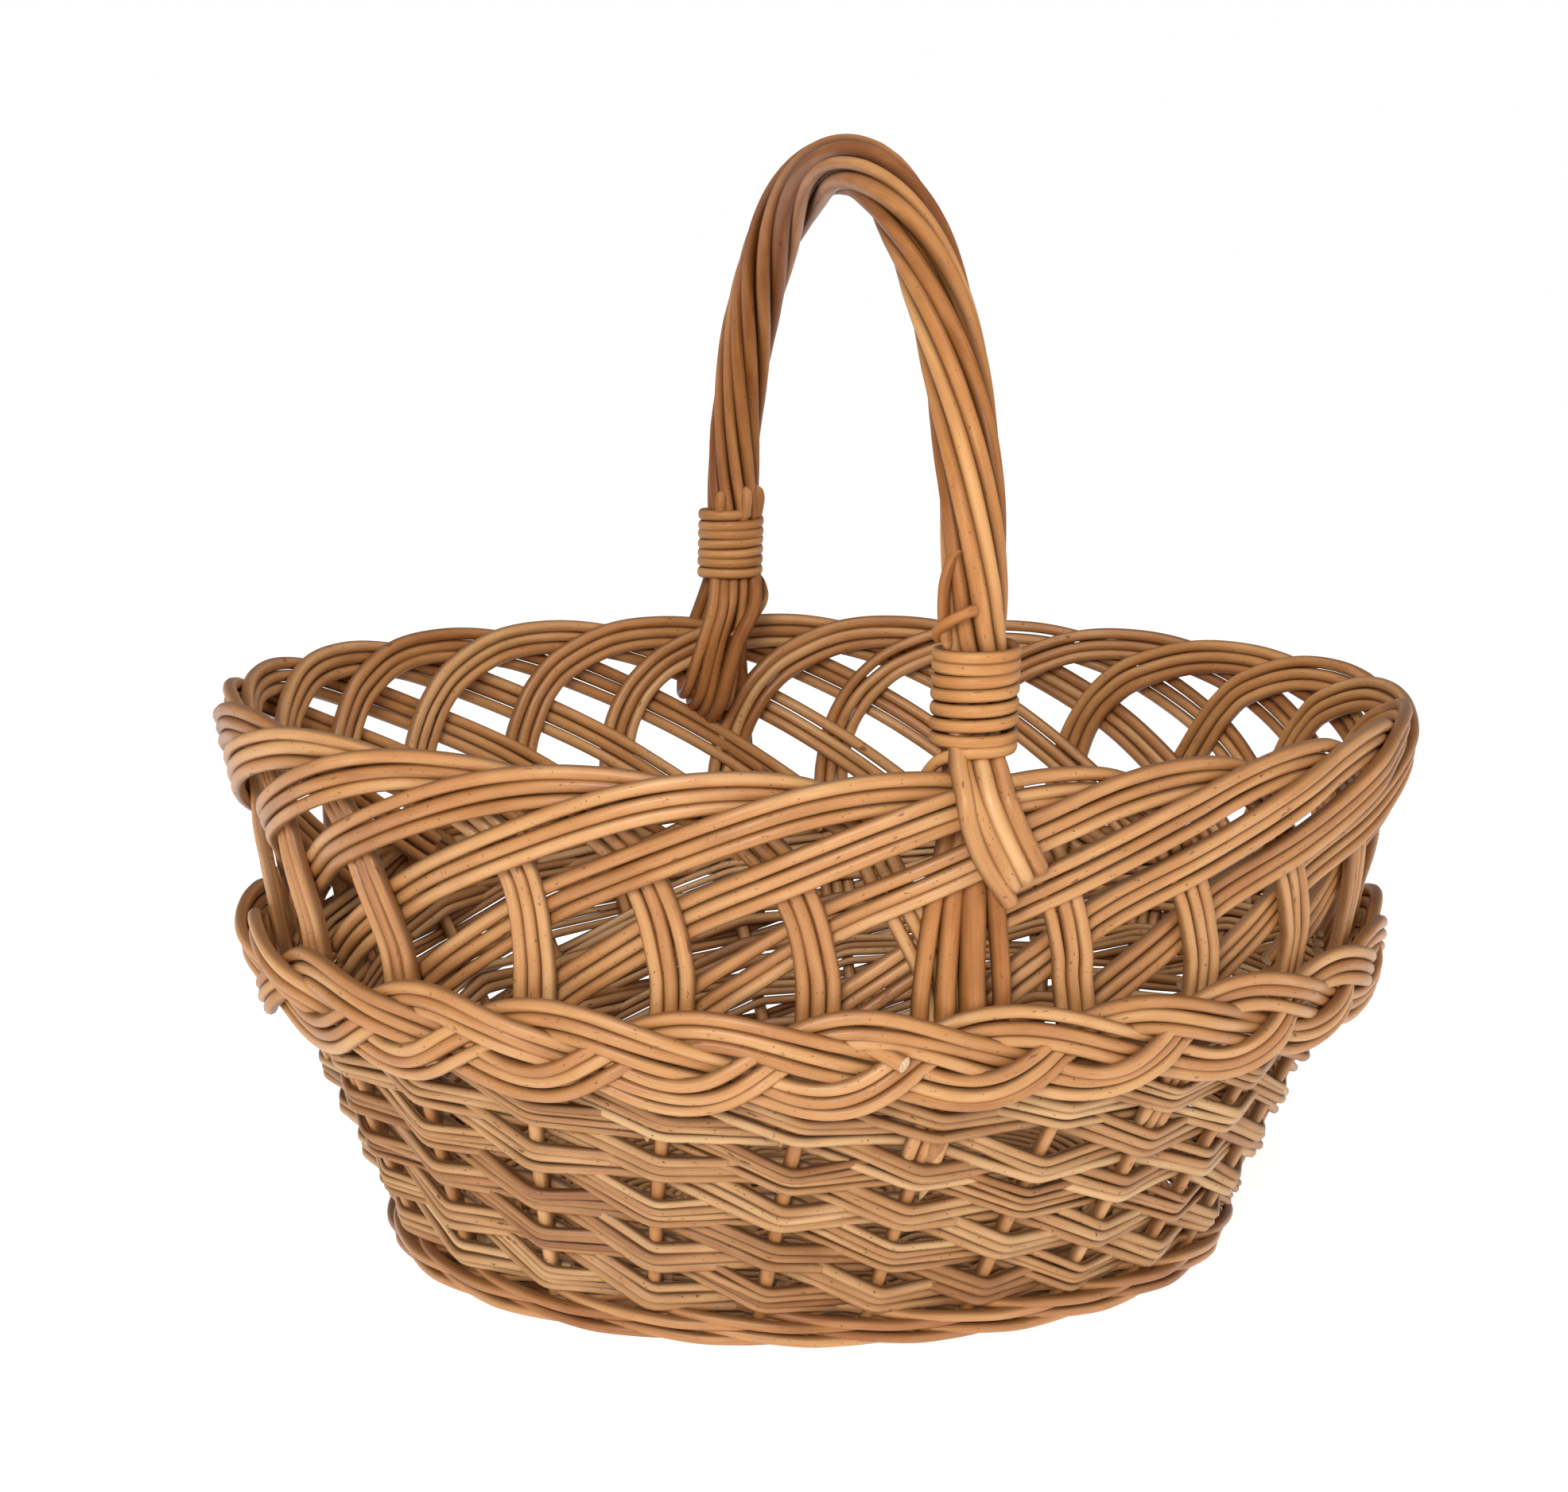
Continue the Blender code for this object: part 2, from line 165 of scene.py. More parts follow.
def rods(paths, normals, radius, tone=0.0, sides=10, flat=1.0, closed=False, tip=(0, 0),
         creasePaintedShade=1.0):
    # a ring of points round each path: radius times (normal cos + side sin), where side is
    # the path's direction crossed with the normal; flat squeezes the ring along the normal
    # and tip draws either end to a point over that length, where the pith shows; tone makes
    # a rod, or each step of it, lighter or darker; the crease strength paints shade on both
    # sides of the rod, where it meets its neighbours, by the sine's size to a power
    r = rodShape
    paths = np.asarray(paths, dtype=float)
    count, steps = paths.shape[:2]
    radius = np.broadcast_to(radius, (count, steps)).copy()
    knots = rng.uniform(0, steps, (count, max(1, steps // r["knotSpacing"])))
    away = (np.arange(steps)[None, None, :] - knots[..., None]) / r["knotWidth"]
    swelling = np.exp(-away ** 2).sum(axis=1)
    radius *= (1 + r["knot"] * swelling * (steps > r["knotFrom"])
               + wander(count, steps, r["unevenness"]))
    if closed:
        tangent = unit(np.roll(paths, -1, axis=1) - np.roll(paths, 1, axis=1))
    else:
        tangent = unit(np.gradient(paths, axis=1))
    side = unit(np.cross(tangent, normals))
    up = np.cross(side, tangent)
    run = np.cumsum(np.linalg.norm(np.diff(paths, axis=1, prepend=paths[:, :1]), axis=2), axis=1)
    cut = np.zeros((count, steps))
    for length, reach in ((tip[0], run), (tip[1], run[:, -1:] - run)):
        if length:
            radius *= np.clip(r["point"] + reach / length, 0, 1) ** r["pointCurve"]
            bare = np.clip(r["pithReach"] - reach / length, 0, 1)
            cut = np.maximum(cut, r["pithShown"] * bare)
    if not closed:
        paths, side, up, run, radius, cut = (
            np.concatenate([a[:, :1], a, a[:, -1:]], axis=1)
            for a in (paths, side, up, run, radius, cut))
        radius[:, [0, -1]] *= r["capShare"]
        cut[:, [0, -1]] = 1
        steps += 2
    turn = np.linspace(0, 2 * pi, sides, endpoint=False)
    c, w = np.cos(turn)[:, None], np.sin(turn)[:, None]
    ring = up[:, :, None] * c * flat + side[:, :, None] * w
    points = paths[:, :, None] + radius[:, :, None, None] * ring
    offset = rng.uniform(-1, 1, (count, 1, 1, 3))
    grain = np.stack(np.broadcast_arrays(radius[..., None] * c[:, 0], radius[..., None] * w[:, 0],
                                         run[..., None]), axis=-1) + offset
    tone = np.asarray(tone, dtype=float)
    if tone.ndim < 2:
        tone = np.broadcast_to(tone.reshape(-1, 1), (count, steps))
    elif tone.shape[1] < steps:
        tone = np.pad(tone, [(0, 0), (1, 1)], mode="edge")
    shade = np.broadcast_to(tone[..., None], (count, steps, sides))
    cut = np.broadcast_to(cut[..., None], (count, steps, sides))
    # painted shade for the creases, strongest on the rod's two sides where it meets its
    # neighbours
    dark = creasePaintedShade * np.abs(w[:, 0]) ** r["creasePaintedShadePower"]
    dark = np.broadcast_to(dark, (count, steps, sides))
    number = np.arange(count * steps * sides).reshape(count, steps, sides)
    right = np.roll(number, -1, axis=2)
    if closed:
        here, beside = number, right
        beyond, ahead = np.roll(right, -1, axis=1), np.roll(number, -1, axis=1)
        caps = np.zeros((0, sides), int)
    else:
        here, beside = number[:, :-1], right[:, :-1]
        beyond, ahead = right[:, 1:], number[:, 1:]
        caps = np.concatenate([number[:, 0, ::-1], number[:, -1]])
    quads = np.stack([here, beside, beyond, ahead], axis=-1).reshape(-1, 4)
    return {"points": points.reshape(-1, 3), "grain": grain.reshape(-1, 3),
            "tone": shade.ravel(), "cut": cut.ravel(), "creasePaintedShade": dark.ravel(),
            "quads": quads, "caps": caps}


def makePiece(name, batches, slotName, *nodes):
    # all the batches of rods as one mesh, in place of the named nodes
    corners, starts, first, loop = [], [], 0, 0
    for batch in batches:
        for faces in (batch["quads"], batch["caps"]):
            corners.append((faces + first).ravel())
            starts.append(loop + np.arange(len(faces)) * faces.shape[1])
            loop += faces.size
        first += len(batch["points"])
    mesh = bpy.data.meshes.new(name)
    mesh.vertices.add(first)
    mesh.loops.add(loop)
    starts = np.concatenate(starts)
    mesh.polygons.add(len(starts))
    mesh.vertices.foreach_set("co", np.concatenate([b["points"] for b in batches]).ravel())
    mesh.loops.foreach_set("vertex_index", np.concatenate(corners))
    mesh.polygons.foreach_set("loop_start", starts)
    mesh.update(calc_edges=True)
    for key, kind, field in (("grain", "FLOAT_VECTOR", "vector"), ("tone", "FLOAT", "value"),
                             ("cut", "FLOAT", "value"), ("creasePaintedShade", "FLOAT", "value")):
        values = np.concatenate([b[key] for b in batches]).ravel()
        mesh.attributes.new(key, kind, "POINT").data.foreach_set(field, values)
    mesh.shade_smooth()
    mesh.set_sharp_from_angle(angle=np.radians(55))
    mesh.materials.append(finishes[slotName])
    piece = bpy.data.objects.new(name, mesh)
    bpy.context.scene.collection.objects.link(piece)
    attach(piece, "root")
    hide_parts(*nodes)


def tones(count, spread=0.5):
    # one random lightness for each rod
    return rng.normal(0, spread, count)


# Finishes: three kinds of peeled willow, as dark, middle and light colour, how strong the
# specks, the painted shade in the creases, the gloss and the thin coat are, and the roughness.
buffWillow = {"dark": (0.32, 0.118, 0.032), "mid": (0.50, 0.228, 0.077),
              "light": (0.66, 0.37, 0.155), "speck": 0.75, "roughness": 0.41,
              "creasePaintedShade": 0.80, "gloss": 0.42, "coat": 0.07}
paleWillow = {"dark": (0.28, 0.112, 0.035), "mid": (0.44, 0.214, 0.080),
              "light": (0.63, 0.38, 0.175), "speck": 0.9, "roughness": 0.47,
              "creasePaintedShade": 0.97, "gloss": 0.40, "coat": 0.03}
brownWillow = {"dark": (0.26, 0.082, 0.017), "mid": (0.44, 0.180, 0.054),
               "light": (0.60, 0.30, 0.11), "speck": 0.6, "roughness": 0.42,
               "creasePaintedShade": 0.85, "gloss": 0.22, "coat": 0.02}


def newMaterial(name):
    # a material with its nodes and its main shader
    material = bpy.data.materials.new(name)
    material.use_nodes = True
    tree = material.node_tree
    return material, tree, tree.nodes["Principled BSDF"]


willowGrain = {
    # noises: waves in a metre round the rod and along it, and detail
    "streaks": (1500.0, 60.0, 3.0), "broad": (140.0, 22.0, 2.0), "blotch": (260.0, 90.0, 3.0),
    "specks": (1000.0, 700.0, 1.0), "scars": (420.0, 130.0, 2.0),
    "pith": (1200.0, 1200.0, 2.0),
    # what each adds to the level between dark at 0 and light at 1
    "toneShare": 0.22, "broadShare": 1.1, "streaksShare": 0.45, "blotchShare": 0.4,
    # where specks, scars and pale pith begin and are full
    "speckWindow": (0.705, 0.75), "scarWindow": (0.70, 0.76), "pithWindow": (0.35, 0.65),
    "creasePaintedShadeShare": 0.24, "markShade": 0.42,         # shares of the dark colour: the painted shade in the creases and the marks
    "pithDark": (0.62, 0.42, 0.22), "pithLight": (0.86, 0.68, 0.44), "pithCover": 0.85,
    "roughnessRange": 0.22, "markRoughness": 0.25,
    "ior": 1.46, "coatRoughness": 0.28,
    "bumpStreaks": 0.6, "bumpBlotch": 0.8, "bumpMarks": 0.5, "bumpStrength": 0.5,
    "bumpDepth": 0.00022,
}


def willow(name, look):
    # streaks, blotches and specks, all noise on the rod's own grain coordinates, which are
    # the place round the rod and the way along it in metres
    g = willowGrain
    material, tree, shader = newMaterial(name)

    def node(kind, **settings):
        made = tree.nodes.new("ShaderNode" + kind)
        for key, value in settings.items():
            setattr(made, key, value)
        return made

    def link(source, target):
        tree.links.new(source, target)

    def attribute(key, output):
        return node("Attribute", attribute_name=key).outputs[output]

    grain = attribute("grain", "Vector")
    tone = attribute("tone", "Fac")
    cut = attribute("cut", "Fac")

    def noise(kind):
        across, along, detail = g[kind]
        stretch = node("VectorMath", operation="MULTIPLY")
        link(grain, stretch.inputs[0])
        stretch.inputs[1].default_value = (across, across, along)
        texture = node("TexNoise")
        texture.inputs["Scale"].default_value = 1.0
        texture.inputs["Detail"].default_value = detail
        link(stretch.outputs[0], texture.inputs["Vector"])
        return texture.outputs["Fac"]

    def math(operation, a, b, c=None, clamp=False):
        made = node("Math", operation=operation, use_clamp=clamp)
        for socket, value in zip(made.inputs, (a, b, c)):
            if value is None:
                continue
            if isinstance(value, (int, float)):
                socket.default_value = value
            else:
                link(value, socket)
        return made.outputs[0]

    def window(value, ends):
        made = node("MapRange", interpolation_type="SMOOTHSTEP")
        link(value, made.inputs["Value"])
        made.inputs["From Min"].default_value = ends[0]
        made.inputs["From Max"].default_value = ends[1]
        return made.outputs["Result"]

    def blend(fac, a, b):
        made = node("Mix", data_type="RGBA")
        link(fac, made.inputs["Factor"])
        for socket, value in ((made.inputs["A"], a), (made.inputs["B"], b)):
            if isinstance(value, tuple):
                socket.default_value = (*value, 1.0)
            else:
                link(value, socket)
        return made.outputs["Result"]

    # the level is one half plus the tone's share and each noise's, the noises less one half
    streaks, broad, blotch = noise("streaks"), noise("broad"), noise("blotch")
    level = math("MULTIPLY_ADD", tone, g["toneShare"], 0.5)
    for texture, share in ((broad, g["broadShare"]), (streaks, g["streaksShare"]),
                           (blotch, g["blotchShare"])):
        level = math("ADD", level, math("MULTIPLY_ADD", texture, share, -share / 2))
    ramp = node("ValToRGB")
    link(level, ramp.inputs["Fac"])
    ramp.color_ramp.elements[0].color = (*look["dark"], 1)
    ramp.color_ramp.elements[1].color = (*look["light"], 1)
    ramp.color_ramp.elements.new(0.5).color = (*look["mid"], 1)
    colour = ramp.outputs["Color"]

    # painted shade in the creases between rods: the rod's sides blend towards a share of the dark
    # colour
    creasePaintedShade = attribute("creasePaintedShade", "Fac")
    colour = blend(math("MULTIPLY", creasePaintedShade, look["creasePaintedShade"], clamp=True), colour,
                   tuple(g["creasePaintedShadeShare"] * v for v in look["dark"]))
    specks = window(noise("specks"), g["speckWindow"])
    scars = window(noise("scars"), g["scarWindow"])
    marks = math("MULTIPLY", math("MAXIMUM", specks, scars), look["speck"], clamp=True)
    colour = blend(marks, colour, tuple(g["markShade"] * v for v in look["dark"]))
    pith = blend(window(noise("pith"), g["pithWindow"]), g["pithDark"], g["pithLight"])
    colour = blend(math("MULTIPLY", cut, g["pithCover"], clamp=True), colour, pith)
    link(colour, shader.inputs["Base Color"])

    rough = math("MULTIPLY_ADD", streaks, g["roughnessRange"],
                 look["roughness"] - g["roughnessRange"] / 2)
    rough = math("ADD", rough, math("MULTIPLY", marks, g["markRoughness"]), clamp=True)
    link(rough, shader.inputs["Roughness"])
    for key, value in (("IOR", g["ior"]), ("Specular IOR Level", look["gloss"]),
                       ("Coat Weight", look["coat"]), ("Coat Roughness", g["coatRoughness"])):
        shader.inputs[key].default_value = value

    height = math("MULTIPLY_ADD", streaks, g["bumpStreaks"],
                  math("MULTIPLY", blotch, g["bumpBlotch"]))
    height = math("SUBTRACT", height, math("MULTIPLY", marks, g["bumpMarks"]))
    bump = node("Bump")
    bump.inputs["Strength"].default_value = g["bumpStrength"]
    bump.inputs["Distance"].default_value = g["bumpDepth"]
    link(height, bump.inputs["Height"])
    link(bump.outputs["Normal"], shader.inputs["Normal"])
    return material


finishes = {"buff_willow": willow("buff willow", buffWillow),
            "pale_willow": willow("pale willow", paleWillow),
            "brown_willow": willow("brown willow", brownWillow)}
print("finishes made")


# Floor of the basket
baseFloor = {
    "level": 0.75,            # height of the sticks, as a share of the floor's top
    "stickRadius": 0.0024, "longThicker": 1.15, "crossSticks": 6, "longSticks": 4,
    "crossSpacing": 0.015, "longSpacing": 0.0052, "crossEnd": 0.98, "longEnd": 0.97,
    "crossFan": 0.12, "longFan": 6.2, "fanCurve": 1.1, "fanShorter": 0.10,
    "slathRoom": 0.006,       # how far past the outer cross sticks the long ones stay straight
    "stickSteps": 40,
    "rings": 36, "ringSteps": 300, "rodRadius": 0.00178, "wave": 0.0022,
    "edge": 0.0012,           # room between the outer ring and the floor's edge
    "innerRoom": (0.008, 0.0022),   # room between the slath and the inner ring
    "crossed": 0.12,          # a ring crosses a stick that comes this near, as a share
    "wraps": 4, "wrapSpacing": 0.0028, "wrapRoom": 0.0015, "wrapRise": 0.0042,
    "wrapSteps": 40,
}


def ovalHalves(share):
    # half-axes of the rings: from just round the slath at 0 to the outer edge at 1
    b = baseFloor
    outer = np.array([wallShape["baseLength"] / 2, wallShape["baseWidth"] / 2]) - b["edge"]
    inner = np.array([b["crossSpacing"] * (b["crossSticks"] - 1) / 2 + b["innerRoom"][0],
                      b["longSpacing"] * b["longSticks"] / 2 + b["innerRoom"][1]])
    share = np.asarray(share, dtype=float)[..., None]
    return inner + (outer - inner) * share


def makeBaseSticks():
    # cross sticks straight across; long sticks run side by side through the slath and fan
    # out past its ends
    b = baseFloor
    level = floorTop * b["level"]
    xs = (np.arange(b["crossSticks"]) - (b["crossSticks"] - 1) / 2) * b["crossSpacing"]
    outer = ovalHalves(1.0)
    reach = outer[1] * np.sqrt(1 - (xs / outer[0]) ** 2) * b["crossEnd"]
    t = np.linspace(-1, 1, b["stickSteps"])
    fan = 1 + b["crossFan"] * np.abs(t)[None, :] ** 2
    cross = np.stack([xs[:, None] * fan, reach[:, None] * t[None, :],
                      np.full((len(xs), len(t)), level)], axis=2)
    ys = (np.arange(b["longSticks"]) - (b["longSticks"] - 1) / 2) * b["longSpacing"]
    x = outer[0] * b["longEnd"] * t
    slath = abs(xs[0]) + b["slathRoom"]
    spread = np.clip((np.abs(x) - slath) / (outer[0] - slath), 0, 1)
    long = np.stack([np.broadcast_to(x, (len(ys), len(t))),
                     ys[:, None] * (1 + b["longFan"] * spread[None, :] ** b["fanCurve"]),
                     np.full((len(ys), len(t)), level)], axis=2)
    long[..., 0] *= 1 - b["fanShorter"] * spread * (np.abs(ys[:, None]) / abs(ys[0])) ** 2
    batches = [rods(cross, upward, b["stickRadius"], tones(len(xs))),
               rods(long, upward, b["stickRadius"] * b["longThicker"], tones(len(ys)))]
    makePiece("base_sticks", batches, "buff_willow", "base_sticks")
    return cross, long


def makeBaseWeave(cross, long):
    # each ring is an oval that goes over one stick and under the next: its height is a
    # cosine of the number of sticks passed, and every other ring is turned over; wraps
    # across the long sticks bind both ends of the slath
    b = baseFloor
    level = floorTop * b["level"]
    turn = np.linspace(0, 2 * pi, b["ringSteps"] + 1)[:-1]
    half = b["stickSteps"] // 2
    stickHalves = [cross[:, half:], cross[:, :half], long[:, half:], long[:, :half]]
    ringPaths = []
    for ring in range(b["rings"]):
        a, c = ovalHalves(ring / (b["rings"] - 1))
        crossings = []
        for stick in np.concatenate(stickHalves):
            apart = np.abs(np.hypot(stick[:, 0] / a, stick[:, 1] / c) - 1)
            nearest = stick[apart.argmin()]
            if apart.min() < b["crossed"]:
                crossings.append(np.arctan2(nearest[1] / c, nearest[0] / a) % (2 * pi))
        crossings = np.sort(crossings)
        count = len(crossings)
        around = np.concatenate([crossings - 2 * pi, crossings, crossings + 2 * pi])
        passed = np.interp(turn, around, np.arange(-count, 2 * count))
        z = level + b["wave"] * np.cos(pi * passed + pi * (ring % 2))
        ringPaths.append(np.stack([a * np.cos(turn), c * np.sin(turn), z], axis=1))
    batch = rods(ringPaths, upward, b["rodRadius"], tones(len(ringPaths)), sides=8,
                 closed=True)
    t = np.linspace(0, 2 * pi, b["wrapSteps"] + 1)[:-1]
    wide = b["longSpacing"] * b["longSticks"] / 2 + b["wrapRoom"]
    binding = []
    for end in (-0.5, 0.5):
        for lane in range(b["wraps"]):
            x = (end * (b["crossSticks"] - 2) * b["crossSpacing"]
                 + (lane - (b["wraps"] - 1) / 2) * b["wrapSpacing"])
            binding.append(np.stack([np.full_like(t, x), wide * np.sin(t),
                                     level + b["wrapRise"] * np.cos(t)], axis=1))
    binding = np.array(binding)
    outwards = binding - binding.mean(axis=1, keepdims=True)
    wraps = rods(binding, unit(outwards), b["rodRadius"], tones(len(binding)), sides=8,
                 closed=True)
    makePiece("base_weave", [batch, wraps], "pale_willow", "base_weave")


makeBaseWeave(*makeBaseSticks())
print("base made")


# Upsett: two rows of three rods round the bottom edge
upsett = {
    "rodRadius": 0.0020, "rows": 2, "rodsPerRow": 3, "firstHeight": 0.0040, "rise": 0.0056,
    "slope": 0.0017, "front": 0.0048, "behind": -0.0040, "stepsPerPlace": 24, "round": 3.0,
    "rowShift": 0.25,         # places that the upper row starts further on
    # places along one round over three stakes, and shares of the way in front of them
    "outAt": [0.0, 0.25, 0.6, 1.5, 2.1, 2.5, 3.0],
    "outShare": [0.0, 0.0, 0.8, 1.35, 0.85, 0.0, 0.0],
    "slopeAt": [0, 0.4, 2.4, 3.0], "slopeShare": [0.8, 1.0, -1.0, 0.8],
    "tone": -0.9, "toneSpread": 0.7,
}


def makeUpsett():
    # each rod goes in front of two stakes and behind one, slanting down as it passes over
    # the other two, and rises again behind the stake
    u = upsett
    q = np.arange(stakes * u["stepsPerPlace"]) / u["stepsPerPlace"]
    out = np.array(u["outShare"]) * u["front"]
    out[[0, -1]] = u["behind"]
    paths, normals = [], []
    for row in range(u["rows"]):
        for rod in range(u["rodsPerRow"]):
            phase = (q - rod + 0.5 * row) % 3
            d = np.interp(phase, u["outAt"], out)
            z = np.interp(phase, u["slopeAt"], u["slopeShare"]) * u["slope"]
            level = u["firstHeight"] + row * u["rise"] + z
            path, normal = wall(q + u["rowShift"] * row, np.maximum(level, u["rodRadius"]), d)
            paths.append(soften(path, u["round"], closed=True))
            normals.append(normal)
    tone = tones(len(paths), u["toneSpread"]) + u["tone"]
    batch = rods(paths, normals, u["rodRadius"], tone, closed=True)
    batch["points"][:, 2] = np.maximum(batch["points"][:, 2], 0.0)
    makePiece("upsett_wale", [batch], "buff_willow", "upsett_wale")


makeUpsett()
print("upsett made")


# Body weave: 24 bundles of three or four thin rods
bodyWeave = {
    "rounds": 5, "upsettTop": 0.013, "topGap": 0.0025, "ribbonWidth": 0.0067,
    "bandWidth": 0.0106,      # over the rods of one bundle
    "swing": 0.0042,          # out in front of a stake, and as much in behind one
    "leadIn": [0.0088, 0.0035], "leadSwing": 0.75,   # the two passes before its own stake
    "frontDrop": 0.6, "behindDrop": 0.08, "behindSpread": 0.15, "spreadPower": 0.7,
    "endReach": 0.22, "endShare": 0.6,
    "stepsPerPlace": 18, "kink": 1.0,
    "heightSpread": 0.0008, "shiftSpread": 0.0005, "liftSpread": 0.0008, "spreadWaves": 9,
    "rodShare": 0.55,         # radius as a share of the spacing, so that rods touch
    "taper": (0.94, 1.07), "thickness": (0.88, 1.12),
    "rodTones": 0.85, "bundleTones": 0.35,
}


def makeWeaver(index):
    # corners lie in front of every odd stake and behind every even one, each bundle stepping
    # down; the rods run straight from corner to corner and bend over a short stretch there;
    # before its own stake a bundle runs level past two more, which closes the top edge
    w = bodyWeave
    step = ((wallShape["bodyHeight"] - w["topGap"] - w["upsettTop"])
            / (2 * w["rounds"] + 0.65))
    top = wallShape["bodyHeight"] - w["topGap"] - w["ribbonWidth"] / 2
    lead = len(w["leadIn"])
    passes = np.arange(-lead, 2 * w["rounds"] + 1)
    front = passes % 2
    height = top - step * (passes + front * w["frontDrop"] + (1 - front) * w["behindDrop"])
    height += rng.normal(0, w["heightSpread"], len(passes))
    height[:lead] = top + np.array(w["leadIn"])
    swing = (2.0 * front - 1) * w["swing"] * np.where(passes < 0, w["leadSwing"], 1)
    corners, cornerNormals = wall(index + passes, height, swing)
    fine = np.linspace(passes[0] - w["endReach"], passes[-1] + w["endReach"],
                       len(passes) * w["stepsPerPlace"])
    path = np.stack([np.interp(fine, passes, corners[:, c]) for c in range(3)], axis=1)
    for end, a, b in ((fine < passes[0], 0, 1), (fine > passes[-1], -1, -2)):
        beyond = np.abs(fine[end] - passes[a])[:, None]
        path[end] = corners[a] + (corners[a] - corners[b]) * beyond * w["endShare"]
    normal = np.stack([np.interp(fine, passes, cornerNormals[:, c]) for c in range(3)], axis=1)
    path = soften(path, w["kink"])
    normal = unit(normal)
    across = unit(np.cross(normal, np.gradient(path, axis=0)))
    many = 3 + int(rng.uniform() < 0.5)
    lane = (np.arange(many) - (many - 1) / 2)[:, None]
    spacing = w["bandWidth"] / (many + 0.15)
    # rods that pile up in front of a stake spread out behind one
    spread = 1 + w["behindSpread"] * (0.5 + 0.5 * np.cos(pi * fine))
    shift = lane * spacing * spread
    shift = shift + wander(many, len(fine), w["shiftSpread"], w["spreadWaves"])
    lift = wander(many, len(fine), w["liftSpread"], w["spreadWaves"])
    paths = path + across * shift[..., None] + normal * lift[..., None]
    radius = w["rodShare"] * spacing * np.linspace(*w["taper"], len(fine))
    radius = radius * spread ** w["spreadPower"] * rng.uniform(*w["thickness"], (many, 1))
    tone = tones(many, w["rodTones"]) + rng.normal(0, w["bundleTones"])
    batch = rods(paths, normal, radius, tone, sides=8)
    name = f"weaver_{index + 1:02d}"
    makePiece(name, [batch], "pale_willow", name)


for number in range(stakes):
    makeWeaver(number)
print("body weave made")


# Stakes and openwork border
border = {
    "rodRadius": 0.00236, "spacing": 0.00460, "layer": 0.002414,
    "stakeTip": 0.004, "bodyKnots": 5, "steps": 130, "knotSteps": 40,
    "plaitCovers": 0.014,     # how far below the plait's top the foot of a bundle begins
    # places left of the foot, share of the height from the plait to the crest, and layer
    "route": [(0.00, 0.00, -0.2), (0.02, 0.15, -0.2), (0.08, 0.36, -0.35),
              (0.17, 0.53, -1.05), (0.30, 0.68, -1.45), (0.53, 0.83, -1.6),
              (1.00, 0.97, -0.65), (1.50, 1.00, 0.3), (2.00, 0.95, 1.2), (2.50, 0.83, 2.1),
              (3.25, 0.57, 0.9), (3.90, 0.305, -2.1), (4.50, 0.02, -2.4),
              (5.00, -0.24, -3.0)],
    # how far uprights stand to the right of their feet half way up, in places
    "sway": {15: 0.16, 16: 0.05, 17: 0.0, 18: -0.26, 19: -0.10, 20: -0.16, 21: -0.16},
    "swayShape": [0.0, 0.3, 0.75, 1.0, 0.95, 0.65, 0.2, 0, 0, 0, 0, 0, 0, 0],
    "footShift": {15: 0.10, 18: -0.12, 19: -0.17, 20: -0.05},
    "tips": {15: 3.7, 16: 2.9, 18: 2.2, 19: 3.4, 20: 2.6},
    "tipFrom": (2.4, 3.5), "tipSpread": 0.15, "slype": 0.008, "trim": 0.12,
    "inward": {6: 0.003, 18: 0.003},     # bundles that pass inside the handle's foot
    "footKnots": 8, "swaySpread": 0.07, "footSpread": 0.02, "footShare": 0.6,
    # spacing along the route from the plait to the end, as shares
    "spacingAt": [0, 0.3, 0.55, 0.7, 1], "spacingShare": [1, 1, 0.93, 1, 1.0],
    "shiftSpread": 0.0005, "liftSpread": 0.0004, "thickness": (0.93, 1.07),
    "taperAt": [0, 0.05, 1], "taper": [1.04, 1.0, 0.93],
    "rodTones": 0.6, "bundleTones": 0.25,
}


def borderRoute(index):
    # (s, z, d) through the body up the stake and on along the border's route
    b = border
    left, share, layer = np.array(b["route"]).T
    sway = b["sway"].get(index, rng.normal(0, b["swaySpread"]))
    foot = b["footShift"].get(index, rng.normal(0, b["footSpread"]))
    rise = np.append(np.linspace(b["stakeTip"], wallShape["bodyHeight"], b["bodyKnots"]),
                     plaitTop - b["plaitCovers"])
    footFade = np.zeros(len(left))
    footFade[:b["footKnots"]] = np.linspace(1, 0, b["footKnots"])
    places = index - left + sway * np.array(b["swayShape"]) + foot * footFade
    s = np.concatenate([np.full(len(rise) - 1, float(index)),
                        [index + foot * b["footShare"]], places])
    z = np.concatenate([rise, plaitTop + share * (crest - plaitTop)])
    rising = np.clip(np.arange(len(left), 0, -1) - 8, 0, 1)   # 1 until the crest
    inside = b["inward"].get(index, 0) * rising
    d = np.concatenate([np.zeros(len(rise)), layer * b["layer"] - inside])
    return np.stack([s, z, d], axis=1)


